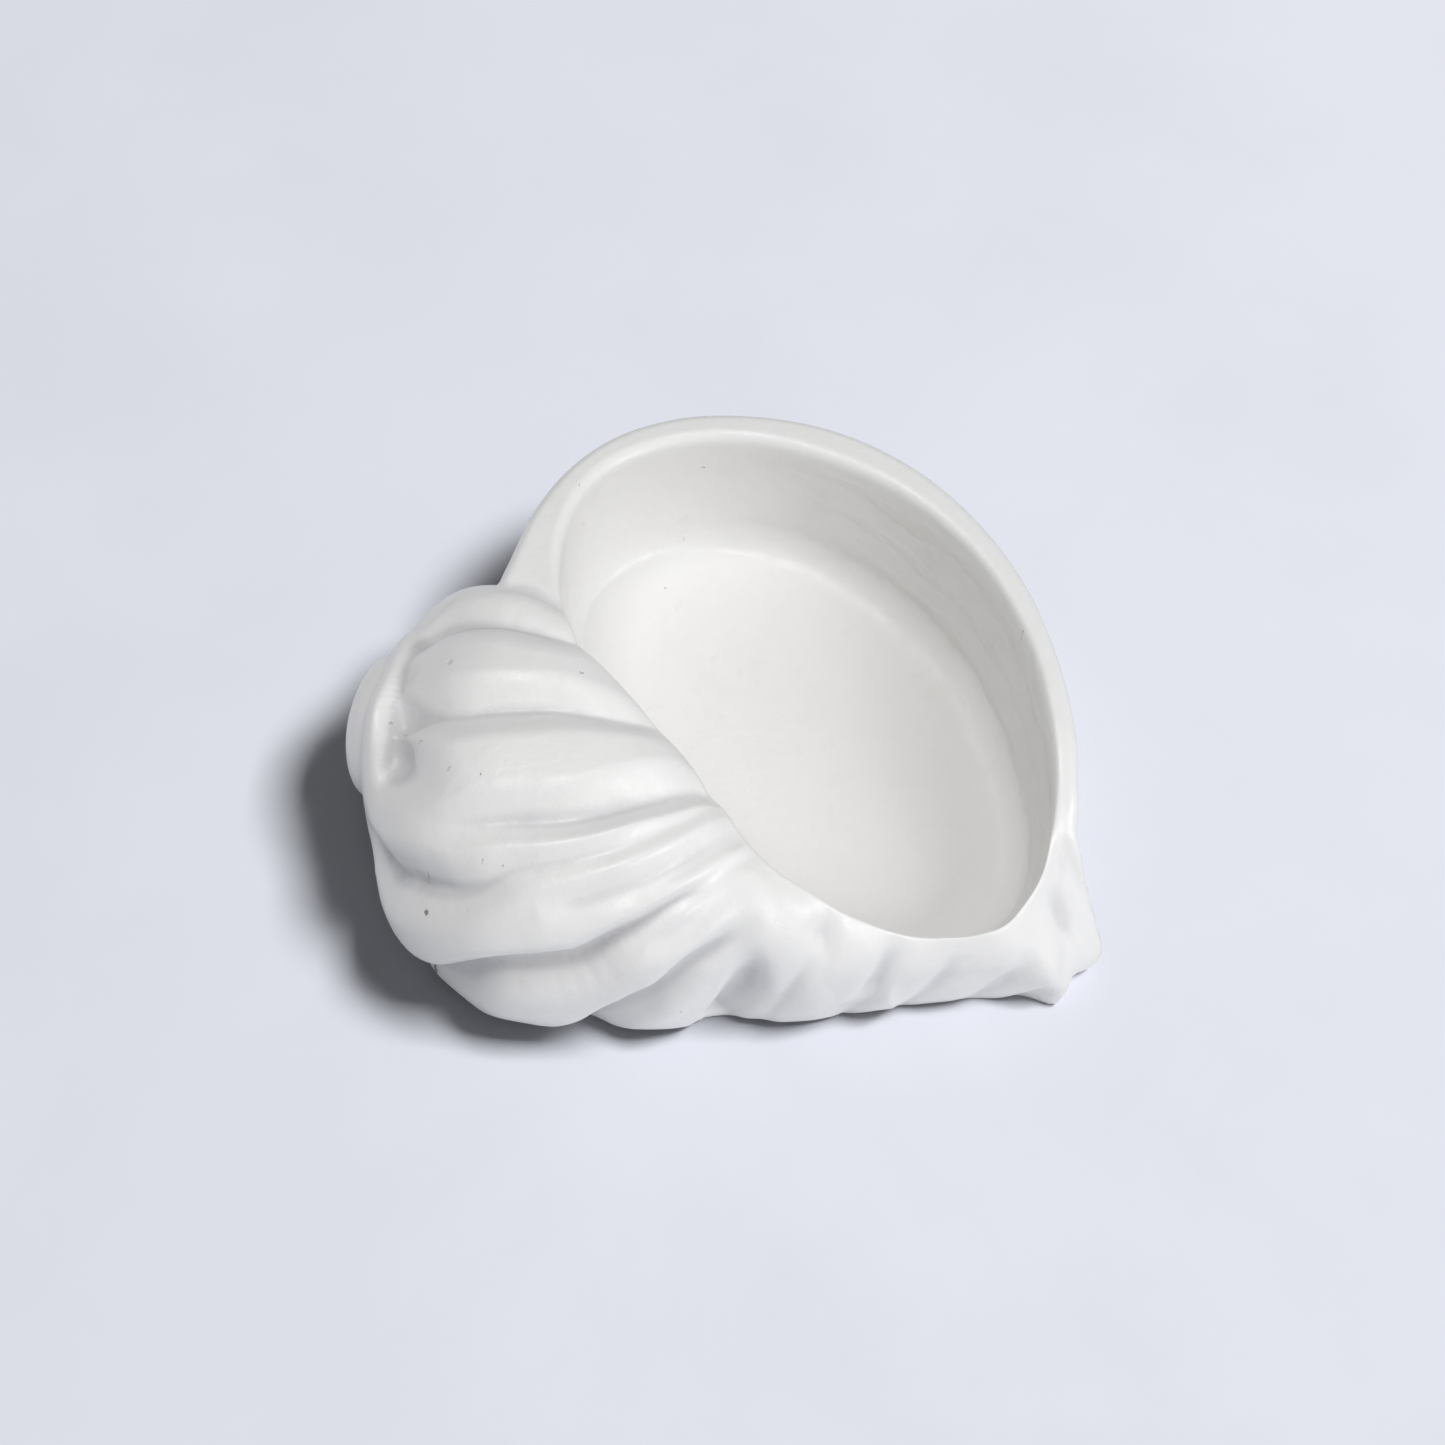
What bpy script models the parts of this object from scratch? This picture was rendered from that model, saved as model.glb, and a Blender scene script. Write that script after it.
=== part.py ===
"""A one-piece cast dish in the shape of a conch shell.

The outside is three solid forms added together: a ribbed body, a lip that runs round the
opening and down to a spout, and a low spire. A bowl with a flat oval floor is sunk into it.
The mesh is a sphere whose poles are the middles of the base and of the bowl floor.
Lengths in the tables are millimetres and angles are degrees.
"""
import bpy
import numpy as np
from math import cos, pi, radians, sin

NODE = "conch_shell_dish"

# How fine the sphere is before it is thinned out.
SEGMENTS = 256
BASE_RINGS = 5
OUTSIDE_RINGS = 62
WALL_RINGS = 14
FLOOR_RINGS = 5
TRIANGLES = 9000

# The shell's own axis in plan, and a point on it.
AXIS_TURN = 14.0
AXIS_POINT = (0.0, -25.0)
BOWL_CENTRE = np.array([18.0, 0.0])

# Body by distance along the axis: side offset, half width, top, widest level, depth below it.
BODY_AT = [-44, -38, -31, -20, -12, 2, 16, 31, 44, 55, 65, 74, 84]
BODY_SIDE = [27, 28, 29, 29, 27.5, 23.5, 19.5, 13.5, 7.8, 4.2, 2.4, 0.7, -1]
BODY_HALF = [2, 4, 6.5, 10, 14, 26, 34, 43.5, 48.8, 49.2, 48, 47.2, 45]
BODY_TOP = [20, 25, 31, 39.5, 46, 53, 57.5, 58.5, 58, 56.5, 54, 51, 50]
BODY_MIDDLE = [14, 16, 18, 20, 20, 20, 20, 20, 20, 20, 21, 22, 23]
BODY_BELOW = [10, 14, 20, 28, 28, 28, 28, 28, 28, 28, 28, 28, 28]
BODY_END = -44.0
CAP_FROM = 48.0
CAP_TO = 80.0
CAP_POWER = 3.0
CAP_SLANT = 0.11
SECTION_POWER = 2.3

# The lip's outer outline and the edge of the opening, seen from above.
LIP_OUTLINE = [
    (-53, 25), (-50, 34), (-45, 47), (-38, 58), (-27, 68), (-12, 74), (7, 75), (26, 71), (44, 61),
    (59, 46), (71, 26), (78, 4), (81, -17), (81, -32), (81.5, -40), (84, -45), (88, -51),
    (87, -54.5), (84, -56), (81, -58.6), (80, -62), (78, -64.2), (74.5, -63.2), (71, -62.8),
    (64, -62.8), (52, -64.3), (41, -66.4), (33, -68), (23, -68), (11, -67), (3, -63), (-6, -54),
    (-25, -30), (-45, 0)]
OPENING = [
    (-38, 31), (-38, 24), (-37, 17), (-33, 5), (-24, -6.5), (-14, -18), (-3, -33), (2, -40),
    (7, -47), (13, -52.5), (19, -55.5), (26, -58.5), (33, -59.5), (40, -60.3), (49, -60),
    (58, -59), (63.5, -57), (68, -52.5), (72.3, -46), (74.4, -38), (75.3, -26), (74.4, -12),
    (69, 13), (57, 36), (41, 52), (25, 61), (6, 66.5), (-13, 65), (-30, 55), (-37, 40)]

# Hollows between the ripples below the front of the opening: angle, half width in degrees, depth.
HOLLOWS = [(-101.5, 3.2, 6), (-84, 2.8, 2.8), (-70.6, 2.4, 1.2), (-57.6, 2.4, 2.2),
           (-50.3, 1.8, 2.2)]
HOLLOW_LEAN = 0.42

# Round the bowl by angle: height of the lip at the opening, its fall outwards, the round of its
# outer corner, how far the foot is drawn in below what height, and how softly lip and body join.
TURN = [-180, -103, -95, -89, -82, -76, -70, -63, -56, -51, -46, -40, -36, -32, -24, -13, 0, 180]
LIP_HEIGHT = [46, 45, 44, 42.3, 39, 35, 32, 29.6, 29, 29.4, 31, 34.5, 37.3, 40, 43.5, 46, 46.5, 46.5]
LIP_FALL = [.1, .15, .2, .3, .4, .45, .5, .6, 1, 1.35, 1.35, 1.45, 1.45, .6, .12, .1, .1, .1]
LIP_ROUND = [2.6, 7, 9, 11, 12, 11, 10, 8, 6, 4.5, 4, 3.5, 3.5, 3, 2.6, 2.6, 2.6, 2.6]
FOOT_INSET = [5, 6, 6, 5, 4.5, 4, 3.5, 3, 2.5, 2.5, 2.5, 2.5, 2.5, 3, 4, 5, 5, 5]
FOOT_RISE = [30, 20, 18, 16, 14, 12, 11, 10, 9, 9, 9, 9, 10, 14, 22, 28, 30, 30]
LIP_BLEND = [1.6, 7, 11, 12, 10, 8, 7, 6, 6, 6, 5, 4, 3, 2, 1.6, 1.6, 1.6, 1.6]

# The spout's channel between its two tips.
CHANNEL_START = (74.0, -48.5)
CHANNEL_END = (87.0, -55.5)
CHANNEL_DEPTH = 3.0
CHANNEL_HALF = 3.3

# Whorls of the spire: station, side, height, their three half sizes, squareness, lobes, lobe depth.
WHORLS = [
    (80.3, 0.0, 24.0, 4.9, 27.5, 21.8, 2.4, 7, 0.03),
    (83.0, -3.5, 24.0, 7.4, 17.0, 17.0, 2.6, 0, 0.0),
    (86.0, -5.0, 20.0, 5.6, 11.0, 10.0, 2.2, 0, 0.0)]
LOBE_START = 0.5
SPIRE_LEAN = 0.0095
SPIRE_BLEND = 5.0

# The bowl's flat floor, its level, and the round between floor and wall.
FLOOR = [
    (-32, 46), (-28, 51), (-20, 57), (-4, 61), (13, 57), (33, 44), (51, 23), (62, -4), (65, -19),
    (64, -34), (58, -44), (46, -51), (31, -51), (18, -45), (7, -36), (-4, -21), (-16, -5),
    (-25, 9), (-31, 24), (-34, 36)]
FLOOR_LEVEL = 6.0
FLOOR_ROUND = 8.0
FLOOR_ROUND_HEIGHT = 8.5

# The soft round at the edge of the opening, by angle round the bowl.
EDGE_TURN = [-180, -60, -30, 0, 80, 150, 163, 180]
EDGE_ROUND = [0.7, 0.8, 1.4, 1.9, 2.2, 2.6, 0.8, 0.7]

# Height of the ribs over the plain body.
CROWN = 1.3

# Grooves between the ribs. A sharpness from 0 to 1, then points along the groove: station on the
# axis, angle round the body from the front over the top, depth, and its width upwards and downwards.
GROOVES = [
    (0.5, [(80, 128, 1.0, 7, 7), (70, 148, 2.0, 8, 8), (60, 152, 2.0, 8, 8), (52, 154, 1.5, 8, 8)]),
    (0.9, [(78, 117, 2.6, 8, 8), (74, 121, 3.8, 8, 10), (67, 122, 3.8, 8, 11), (59, 122, 3.6, 8, 11),
           (51, 123, 3.4, 7, 11), (42, 126, 2.6, 6, 9), (34, 134, 1.6, 5, 7)]),
    (0.75, [(76, 70, 2.0, 7, 7), (73, 78, 3.2, 9, 9), (68, 84, 3.4, 10, 10), (61, 87, 3.6, 10, 10),
            (50, 93, 3.8, 9, 10), (36, 104, 3.5, 8, 9), (25, 115, 2.8, 7, 8), (14, 134, 1.6, 6, 7)]),
    (0.6, [(70, 54, 0.0, 8, 8), (57, 55, 1.0, 9, 9), (42, 63, 2.2, 9, 8), (26, 74, 3.4, 9, 7),
           (12, 95, 4.0, 9, 7), (1, 123, 2.8, 7, 6)]),
    (0.7, [(78, 20, 7.0, 9, 8), (74, 23, 6.2, 10, 9), (70, 25, 5.4, 11, 10), (65, 30, 5.4, 11, 10),
           (58, 34, 4.8, 11, 10), (51, 38, 3.6, 10, 9), (44, 44, 2.5, 9, 8), (38, 51, 1.8, 8, 7),
           (32, 55, 1.6, 7, 6), (15, 70, 1.4, 6, 5), (4, 94, 0.9, 5, 4), (-2, 119, 0.4, 4, 4)]),
    (0.3, [(30, 42, 0.0, 6, 6), (21, 47, 1.3, 6, 6), (9, 59, 1.9, 6, 6), (1, 76, 2.0, 5, 5),
           (-4, 96, 1.6, 5, 5), (-9, 134, 1.0, 5, 5)]),
    (1.0, [(72, -32, 7.0, 6, 12), (66, -24, 6.0, 6, 12), (62, -18, 5.6, 6, 12), (53, -5, 6.0, 6, 14),
           (40, 16, 6.0, 6, 14), (27, 23, 5.6, 6, 14), (20, 26, 5.0, 6, 12), (14, 34, 4.2, 5, 10),
           (7, 44, 3.4, 5, 8), (1, 56, 2.8, 4.5, 7), (-4, 67, 2.3, 4, 6), (-8, 84, 1.8, 4, 5),
           (-13, 128, 0.8, 4, 4)]),
    (0.3, [(10, 32, 0.0, 5, 5), (1, 40, 1.3, 5, 5), (-7, 59, 1.5, 4, 4), (-13, 84, 0.6, 4, 4)]),
    (0.8, [(26, -40, 6.5, 6, 10), (21, -28, 5.6, 6, 10), (17, -20, 4.8, 6, 10), (11, -5, 4.6, 6, 10),
           (6, 4, 4.4, 6, 9), (1, 13, 3.6, 5, 8), (-3, 24, 2.8, 5, 7), (-9, 36, 2.0, 5, 6),
           (-15, 56, 0.8, 5, 5)]),
    (0.6, [(-8, -30, 4.5, 6, 8), (-14, -4, 4.0, 6, 8), (-16, 18, 2.2, 6, 7), (-18, 38, 0.6, 6, 6)])]


def cubic(at, knots, values, slopes):
    """A smooth curve through the values, with the given slope at each knot."""
    steps = np.diff(knots)
    at = np.clip(at, knots[0], knots[-1])
    i = np.clip(np.searchsorted(knots, at, side="right") - 1, 0, len(knots) - 2)
    t = (at - knots[i]) / steps[i]
    start = (2 * t ** 3 - 3 * t ** 2 + 1) * values[i] + (3 * t ** 2 - 2 * t ** 3) * values[i + 1]
    return start + steps[i] * ((t ** 3 - 2 * t ** 2 + t) * slopes[i] + (t ** 3 - t ** 2) * slopes[i + 1])


def flowing(at, knots, values):
    """A curve through the values that may swing a little past them."""
    knots = np.asarray(knots, float)
    values = np.asarray(values, float)
    return cubic(at, knots, values, np.gradient(values, knots))


def steady(at, knots, values):
    """A curve through the values that never swings past them."""
    knots = np.asarray(knots, float)
    values = np.asarray(values, float)
    steps = np.diff(knots)
    rises = np.diff(values) / steps
    slopes = np.zeros_like(values)
    near = 2 * steps[1:] + steps[:-1]
    far = steps[1:] + 2 * steps[:-1]
    turning = rises[:-1] * rises[1:] <= 0
    first = np.where(turning, 1, rises[:-1])
    second = np.where(turning, 1, rises[1:])
    slopes[1:-1] = np.where(turning, 0, (near + far) / (near / first + far / second))
    slopes[0] = rises[0]
    slopes[-1] = rises[-1]
    return cubic(at, knots, values, slopes)


def outline_radius(turn, points):
    """Distance from the bowl centre to a closed outline, at each angle in radians."""
    offset = np.asarray(points, float) - BOWL_CENTRE
    angle = np.arctan2(offset[:, 1], offset[:, 0])
    order = np.argsort(angle)
    angle = angle[order]
    radius = np.hypot(offset[:, 0], offset[:, 1])[order]
    angle = np.concatenate([angle[-3:] - 2 * pi, angle, angle[:3] + 2 * pi])
    radius = np.concatenate([radius[-3:], radius, radius[:3]])
    return flowing((turn + pi) % (2 * pi) - pi, angle, radius)


def by_turn(turn, table):
    return steady(np.degrees(turn), TURN, table)


def shell_axes(x, y):
    """Distance along the shell's axis towards the spire, and sideways towards the front."""
    turn = radians(AXIS_TURN)
    x = x - AXIS_POINT[0]
    y = y - AXIS_POINT[1]
    return y * sin(turn) - x * cos(turn), -x * sin(turn) - y * cos(turn)


def body_section(station):
    """Middle, half width, level, height above and depth below of the body's section."""
    middle = steady(station, BODY_AT, BODY_MIDDLE)
    above = steady(station, BODY_AT, BODY_TOP) - middle
    below = steady(station, BODY_AT, BODY_BELOW)
    return (steady(station, BODY_AT, BODY_SIDE), steady(station, BODY_AT, BODY_HALF),
            middle, above, below)


def into_cap(station, side):
    """0 where the body's rounded end begins, 1 at its tip."""
    share = (station + CAP_SLANT * (side - 5) - CAP_FROM) / (CAP_TO - CAP_FROM)
    return np.maximum(share, 0)


def body(points):
    """How deep each point lies in the body. Points outside it are negative."""
    station, side = shell_axes(points[..., 0], points[..., 1])
    centre, half, middle, above, below = body_section(station)
    across = side - centre
    rise = points[..., 2] - middle
    ring = np.abs(across / half) ** SECTION_POWER
    ring = ring + np.abs(rise / np.where(rise > 0, above, below)) ** SECTION_POWER
    ring = ring ** (1 / SECTION_POWER) + 1e-6
    cap = into_cap(station, side)
    size = (cap ** CAP_POWER + ring ** CAP_POWER) ** (1 / CAP_POWER)
    slope = np.hypot(cap ** (CAP_POWER - 1) / (CAP_TO - CAP_FROM),
                     ring ** CAP_POWER / (np.hypot(across, rise) + 1e-6))
    depth = (1 - size) / (slope * size ** (1 - CAP_POWER))
    return np.minimum(depth, station - BODY_END)


def body_surface(station, angle):
    """Point of the plain body at a station and an angle round it."""
    turn = np.radians(angle)
    size = np.abs(np.cos(turn)) ** SECTION_POWER + np.abs(np.sin(turn)) ** SECTION_POWER
    size = size ** (1 / SECTION_POWER)
    centre, half, middle, above, below = body_section(station)
    side = centre
    for _ in range(4):
        cap = np.minimum(into_cap(station, side), 0.9995)
        shrink = (1 - cap ** CAP_POWER) ** (1 / CAP_POWER)
        side = centre + half * shrink * np.cos(turn) / size
    z = middle + np.where(np.sin(turn) > 0, above, below) * shrink * np.sin(turn) / size
    axis = radians(AXIS_TURN)
    x = AXIS_POINT[0] - station * cos(axis) - side * sin(axis)
    y = AXIS_POINT[1] + station * sin(axis) - side * cos(axis)
    return np.stack([x, y, z], -1)


def lip(points):
    """How deep each point lies in the lip and the wall below it."""
    x = points[..., 0] - BOWL_CENTRE[0]
    y = points[..., 1] - BOWL_CENTRE[1]
    z = points[..., 2]
    radius = np.hypot(x, y)
    turn = np.arctan2(y, x)
    low = np.clip(1 - z / by_turn(turn, FOOT_RISE), 0, 1)
    outwards = np.clip(radius - outline_radius(turn, OPENING), -2, 40)
    off_edge = np.clip(outwards / 8, 0, 1)
    lean = np.radians(HOLLOW_LEAN) * z * np.clip((-75 - np.degrees(turn)) / 30, 0, 0.5) * off_edge
    to_side = outline_radius(turn - lean, LIP_OUTLINE) - by_turn(turn, FOOT_INSET) * low ** 1.8 - radius
    top = by_turn(turn, LIP_HEIGHT) - by_turn(turn, LIP_FALL) * outwards
    for angle, half, hollow in HOLLOWS:
        from_hollow = np.degrees(turn) - angle - HOLLOW_LEAN * z
        hollow = hollow * np.exp(-(from_hollow / half) ** 2) * off_edge
        to_side = to_side - hollow
        top = top - 0.25 * hollow
    run = np.subtract(CHANNEL_END, CHANNEL_START)
    run = run / np.hypot(*run)
    from_start = points[..., :2] - CHANNEL_START
    along = from_start @ run
    across = from_start[..., 0] * run[1] - from_start[..., 1] * run[0]
    fade = np.clip((along + 4) / 8, 0, 1)
    to_top = top - CHANNEL_DEPTH * fade * np.exp(-(across / CHANNEL_HALF) ** 2) - z
    bend = by_turn(turn, LIP_ROUND)
    rounded = bend - np.hypot(np.maximum(bend - to_side, 0), np.maximum(bend - to_top, 0))
    near_corner = (to_side < bend) & (to_top < bend)
    return np.where(near_corner, rounded, np.minimum(to_side, to_top))


def whorl(points, station, side, height, long_half, side_half, high_half, power, lobes, depth):
    """How deep each point lies in one whorl of the spire."""
    along, across = shell_axes(points[..., 0], points[..., 1])
    along = along - station + SPIRE_LEAN * np.maximum(across, 0) ** 2
    across = across - side
    up = points[..., 2] - height
    wave = 1 + depth * np.cos(lobes * (np.arctan2(up / high_half, across / side_half) - LOBE_START))
    ring = np.hypot(across / side_half, up / high_half) / wave
    size = (np.abs(along / long_half) ** power + ring ** power) ** (1 / power) + 1e-6
    slope = np.hypot(np.abs(along / long_half) ** (power - 1) / long_half,
                     ring ** (power - 1) * 2 / (side_half + high_half))
    return (1 - size) / (slope * size ** (1 - power) + 1e-6)


def joined(first, second, blend):
    """Both forms together, with a small round where they meet."""
    share = np.clip(0.5 + 0.5 * (first - second) / blend, 0, 1)
    return second + (first - second) * share + blend * share * (1 - share)


def spire(points):
    first, second, third = (whorl(points, *values) for values in WHORLS)
    return joined(joined(first, second, 0.8), third, 0.8)


def outside(points):
    """How deep each point lies in the whole shell, as if there were no bowl."""
    turn = np.arctan2(points[..., 1] - BOWL_CENTRE[1], points[..., 0] - BOWL_CENTRE[0])
    depth = joined(body(points), lip(points), by_turn(turn, LIP_BLEND))
    depth = joined(depth, spire(points), SPIRE_BLEND)
    return np.minimum(depth, points[..., 2] + 0.01)


def groove_paths():
    """The middle line of each groove on the plain body, its upward side and its sizes."""
    for sharpness, rows in GROOVES:
        rows = np.array(rows, float)
        lengths = np.hypot(np.diff(rows[:, 0]), np.diff(rows[:, 1]) * 0.6)
        knots = np.concatenate([[0], np.cumsum(lengths)])
        at = np.linspace(0, knots[-1], 48)
        station = flowing(at, knots, rows[:, 0])
        angle = flowing(at, knots, rows[:, 1])
        line = body_surface(station, angle)
        forward = np.gradient(line, axis=0)
        forward /= np.linalg.norm(forward, axis=1)[:, None]
        up = body_surface(station, angle + 1) - line
        up -= (up * forward).sum(1)[:, None] * forward
        up /= np.linalg.norm(up, axis=1)[:, None] + 1e-9
        sizes = np.stack([steady(at, knots, rows[:, column]) for column in (2, 3, 4)], -1)
        yield sharpness, line, up, sizes


def rib_height(points):
    """How far the ribbed surface stands over the plain body at each point."""
    cut = np.zeros(len(points))
    for sharpness, line, up, sizes in groove_paths():
        squares = ((points[:, None, :] - line[None, :, :]) ** 2).sum(-1)
        nearest = squares.argmin(1)
        best = np.full(len(points), np.inf)
        chosen = np.zeros((len(points), 4))
        for first in (np.maximum(nearest - 1, 0), np.minimum(nearest, len(line) - 2)):
            step = line[first + 1] - line[first]
            away = points - line[first]
            along = np.clip((away * step).sum(1) / (step ** 2).sum(1), 0, 1)[:, None]
            away = away - along * step
            closer = (away ** 2).sum(1) < best
            best = np.where(closer, (away ** 2).sum(1), best)
            upwards = (away * (up[first] * (1 - along) + up[first + 1] * along)).sum(1)
            here = np.column_stack([sizes[first] * (1 - along) + sizes[first + 1] * along, upwards])
            chosen = np.where(closer[:, None], here, chosen)
        depth, width_up, width_down, upwards = chosen.T
        width = np.where(upwards > 0, width_up, width_down)
        distance = np.sqrt(best + 0.5 ** 2) - 0.5
        share = np.clip(distance / width, 0, 1)
        fold = sharpness * (1 - share) ** 2 + (1 - sharpness) * (0.5 + 0.5 * np.cos(pi * share))
        fold = fold * depth
        cut = np.maximum(cut, fold) + 0.25 * np.minimum(cut, fold)
    return CROWN - cut


def outermost(start, direction, reach):
    """Distance along each ray to the shell's surface, coming in from outside."""
    distance = np.full(len(start), float(reach))
    beyond = distance.copy()
    moving = np.ones(len(start), bool)
    for _ in range(400):
        rays = np.nonzero(moving)[0]
        if len(rays) == 0:
            break
        depth = outside(start[rays] + direction[rays] * distance[rays, None])
        moving[rays[depth > 0]] = False
        out = rays[depth <= 0]
        beyond[out] = distance[out]
        distance[out] -= np.maximum(0.3, -0.55 * depth[depth <= 0])
        lost = out[distance[out] < 0.2]
        distance[lost] = 0.2
        moving[lost] = False
    for _ in range(16):
        middle = (distance + beyond) / 2
        solid = outside(start + direction * middle[:, None]) > 0
        distance = np.where(solid, middle, distance)
        beyond = np.where(solid, beyond, middle)
    return (distance + beyond) / 2


def surface_normals(points):
    """Outward directions of the plain surface."""
    normals = np.empty_like(points)
    for axis in range(3):
        step = np.zeros(3)
        step[axis] = 0.25
        normals[:, axis] = outside(points - step) - outside(points + step)
    return normals / (np.linalg.norm(normals, axis=1)[:, None] + 1e-9)


def segment_angles():
    """Angles round the bowl, closer together over the ribs."""
    fine = np.linspace(-pi, pi, 2001)
    from_ribs = np.abs((np.degrees(fine) + 325) % 360 - 180)
    weight = 1 + 1.4 / (1 + np.exp((from_ribs - 78) / 8))
    total = np.concatenate([[0], np.cumsum((weight[1:] + weight[:-1]) / 2)])
    return np.interp(np.arange(SEGMENTS) / SEGMENTS, total / total[-1], fine)


def shell_rings():
    """Points of the sphere's rings, from near the base's middle to near the floor's middle."""
    turn = segment_angles()
    ray = np.stack([np.cos(turn), np.sin(turn)], -1)
    zero = np.zeros(SEGMENTS)

    def place(radius, height):
        plan = BOWL_CENTRE + radius[..., None] * ray.reshape(SEGMENTS, *[1] * (radius.ndim - 1), 2)
        return np.concatenate([plan, (height + 0 * radius)[..., None]], -1)

    edge = outline_radius(turn, OPENING)
    centre = np.concatenate([np.tile(BOWL_CENTRE, (SEGMENTS, 1)), np.full((SEGMENTS, 1), 0.02)], 1)
    foot = outermost(centre, np.column_stack([ray, zero]), 135)
    edge_height = outermost(place(edge, zero), np.tile([0.0, 0.0, 1.0], (SEGMENTS, 1)), 80)

    # A fan of rays in each upright section, from the foot over the outside to the edge.
    pivot = edge + np.clip(0.3 * (np.maximum(foot, edge + 6) - edge), 1.5, 22)
    first = np.arctan2(-20, foot - pivot)
    last = np.arctan2(edge_height - 20, edge - pivot)
    lean = first[:, None] + (last - first)[:, None] * np.linspace(0, 1, 150)
    start = np.repeat(place(pivot, zero + 20), 150, axis=0)
    flat = (np.cos(lean)[..., None] * ray[:, None, :]).reshape(-1, 2)
    direction = np.column_stack([flat, np.sin(lean).ravel()])
    reach = outermost(start, direction, 110).reshape(lean.shape)
    reach[:, 0] = np.hypot(foot - pivot, 20)
    reach[:, -1] = np.hypot(edge - pivot, edge_height - 20)
    radius = pivot[:, None] + reach * np.cos(lean)
    height = 20 + reach * np.sin(lean)
    run = np.cumsum(np.hypot(np.diff(radius, axis=1), np.diff(height, axis=1)), axis=1)
    run = np.column_stack([zero, run])
    even = run[:, -1:] - 3.6 * np.linspace(1, 0, 9) ** 1.3
    even = np.column_stack([even[:, :1] * np.linspace(0, 1, OUTSIDE_RINGS - 8)[:-1], even])
    radius = np.array([np.interp(*row) for row in zip(even, run, radius)])
    height = np.array([np.interp(*row) for row in zip(even, run, height)])

    # Ribs, only where the body is the outermost form.
    points = place(radius, height).reshape(-1, 3)
    others = joined(lip(points), spire(points), 1)
    share = np.clip(0.5 + (body(points) - others) / 4, 0, 1) * np.clip(points[:, 2] / 3, 0, 1)
    to_edge = (even[:, -1:] - even).ravel()
    share = share * (0.6 + 0.4 * np.clip(to_edge / 14, 0, 1))
    points = points + surface_normals(points) * (rib_height(points) * share)[:, None]
    points[:, 2] = np.maximum(points[:, 2], 0)
    points = points.reshape(SEGMENTS, OUTSIDE_RINGS, 3)
    radius = np.linalg.norm(points[..., :2] - BOWL_CENTRE, axis=-1)
    back = (edge - radius[:, -1])[:, None] * np.clip(1 - (even[:, -1:] - even) / 8, 0, 1) ** 2
    points[..., :2] += back[..., None] * ray[:, None, :]

    # A soft round at the edge of the opening.
    radius = np.linalg.norm(points[..., :2] - BOWL_CENTRE, axis=-1)
    bend = np.interp(np.degrees(turn), EDGE_TURN, EDGE_ROUND)[:, None]
    inside_round = bend - np.clip(radius - edge[:, None], 0, bend)
    drop = bend - np.sqrt(bend ** 2 - inside_round ** 2)
    points[..., 2] -= np.where(even > run[:, -1:] * 0.6, drop, 0)

    # The bowl's wall, the round at its foot and its floor.
    rings = []
    level = points[:, -1, 2]
    floor_edge = np.minimum(outline_radius(turn, FLOOR), edge - 3)
    bend = np.minimum(FLOOR_ROUND, (edge - floor_edge) * 0.85)
    straight = max(3, int(WALL_RINGS * 0.45))
    for share in np.linspace(0, 1, straight + 1)[1:]:
        bend_top = FLOOR_LEVEL + FLOOR_ROUND_HEIGHT
        rings.append(place(edge + (floor_edge + bend - edge) * share, level + (bend_top - level) * share))
    for angle in np.linspace(pi / 2, 0, WALL_RINGS - straight + 1)[1:]:
        height = FLOOR_LEVEL + FLOOR_ROUND_HEIGHT * (1 - cos(angle))
        rings.append(place(floor_edge + bend * sin(angle), zero + height))
    for share in np.linspace(1, 0, FLOOR_RINGS + 2)[1:-1]:
        rings.append(place(floor_edge * share, zero + FLOOR_LEVEL))
    foot = np.linalg.norm(points[:, 0, :2] - BOWL_CENTRE, axis=-1)
    under = [place(foot * share, zero) for share in np.linspace(0, 1, BASE_RINGS + 2)[1:-1]]
    return np.concatenate([np.stack(under, 1), points, np.stack(rings, 1)], 1)


def shell_mesh():
    """The closed sphere of rings, in metres."""
    rings = shell_rings()
    count = rings.shape[1]
    base = [*BOWL_CENTRE, 0]
    floor = [*BOWL_CENTRE, FLOOR_LEVEL]
    points = np.vstack([rings.reshape(-1, 3), base, floor]) / 1000
    faces = []
    for i in range(SEGMENTS):
        here = i * count
        there = (i + 1) % SEGMENTS * count
        for k in range(count - 1):
            faces.append((here + k, there + k, there + k + 1, here + k + 1))
        faces.append((SEGMENTS * count, there, here))
        faces.append((SEGMENTS * count + 1, here + count - 1, there + count - 1))
    mesh = bpy.data.meshes.new(NODE)
    mesh.from_pydata(points.tolist(), [], faces)
    mesh.validate()
    return mesh


def thinned(shell):
    """Collapse edges until the shell has about TRIANGLES faces."""
    thin = shell.modifiers.new("thin", "DECIMATE")
    faces = sum(len(face.vertices) - 2 for face in shell.data.polygons)
    thin.ratio = TRIANGLES / faces
    thin.use_collapse_triangulate = True
    evaluated = shell.evaluated_get(bpy.context.evaluated_depsgraph_get())
    mesh = bpy.data.meshes.new_from_object(evaluated)
    shell.modifiers.clear()
    shell.data = mesh


def stand(mesh):
    """Flatten the base and put the middle of the shell's box over the origin."""
    points = np.empty(len(mesh.vertices) * 3)
    mesh.vertices.foreach_get("co", points)
    points = points.reshape(-1, 3)
    points[points[:, 2] < 0.00012, 2] = 0
    points[:, :2] -= (points[:, :2].min(0) + points[:, :2].max(0)) / 2
    mesh.vertices.foreach_set("co", points.ravel())
    mesh.update()


def glazed_white():
    material = bpy.data.materials.new("glazed_white")
    material.use_nodes = True
    shader = material.node_tree.nodes["Principled BSDF"]
    shader.inputs["Base Color"].default_value = (0.8, 0.795, 0.785, 1)
    shader.inputs["Roughness"].default_value = 0.42
    shader.inputs["Metallic"].default_value = 0.0
    return material


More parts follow.
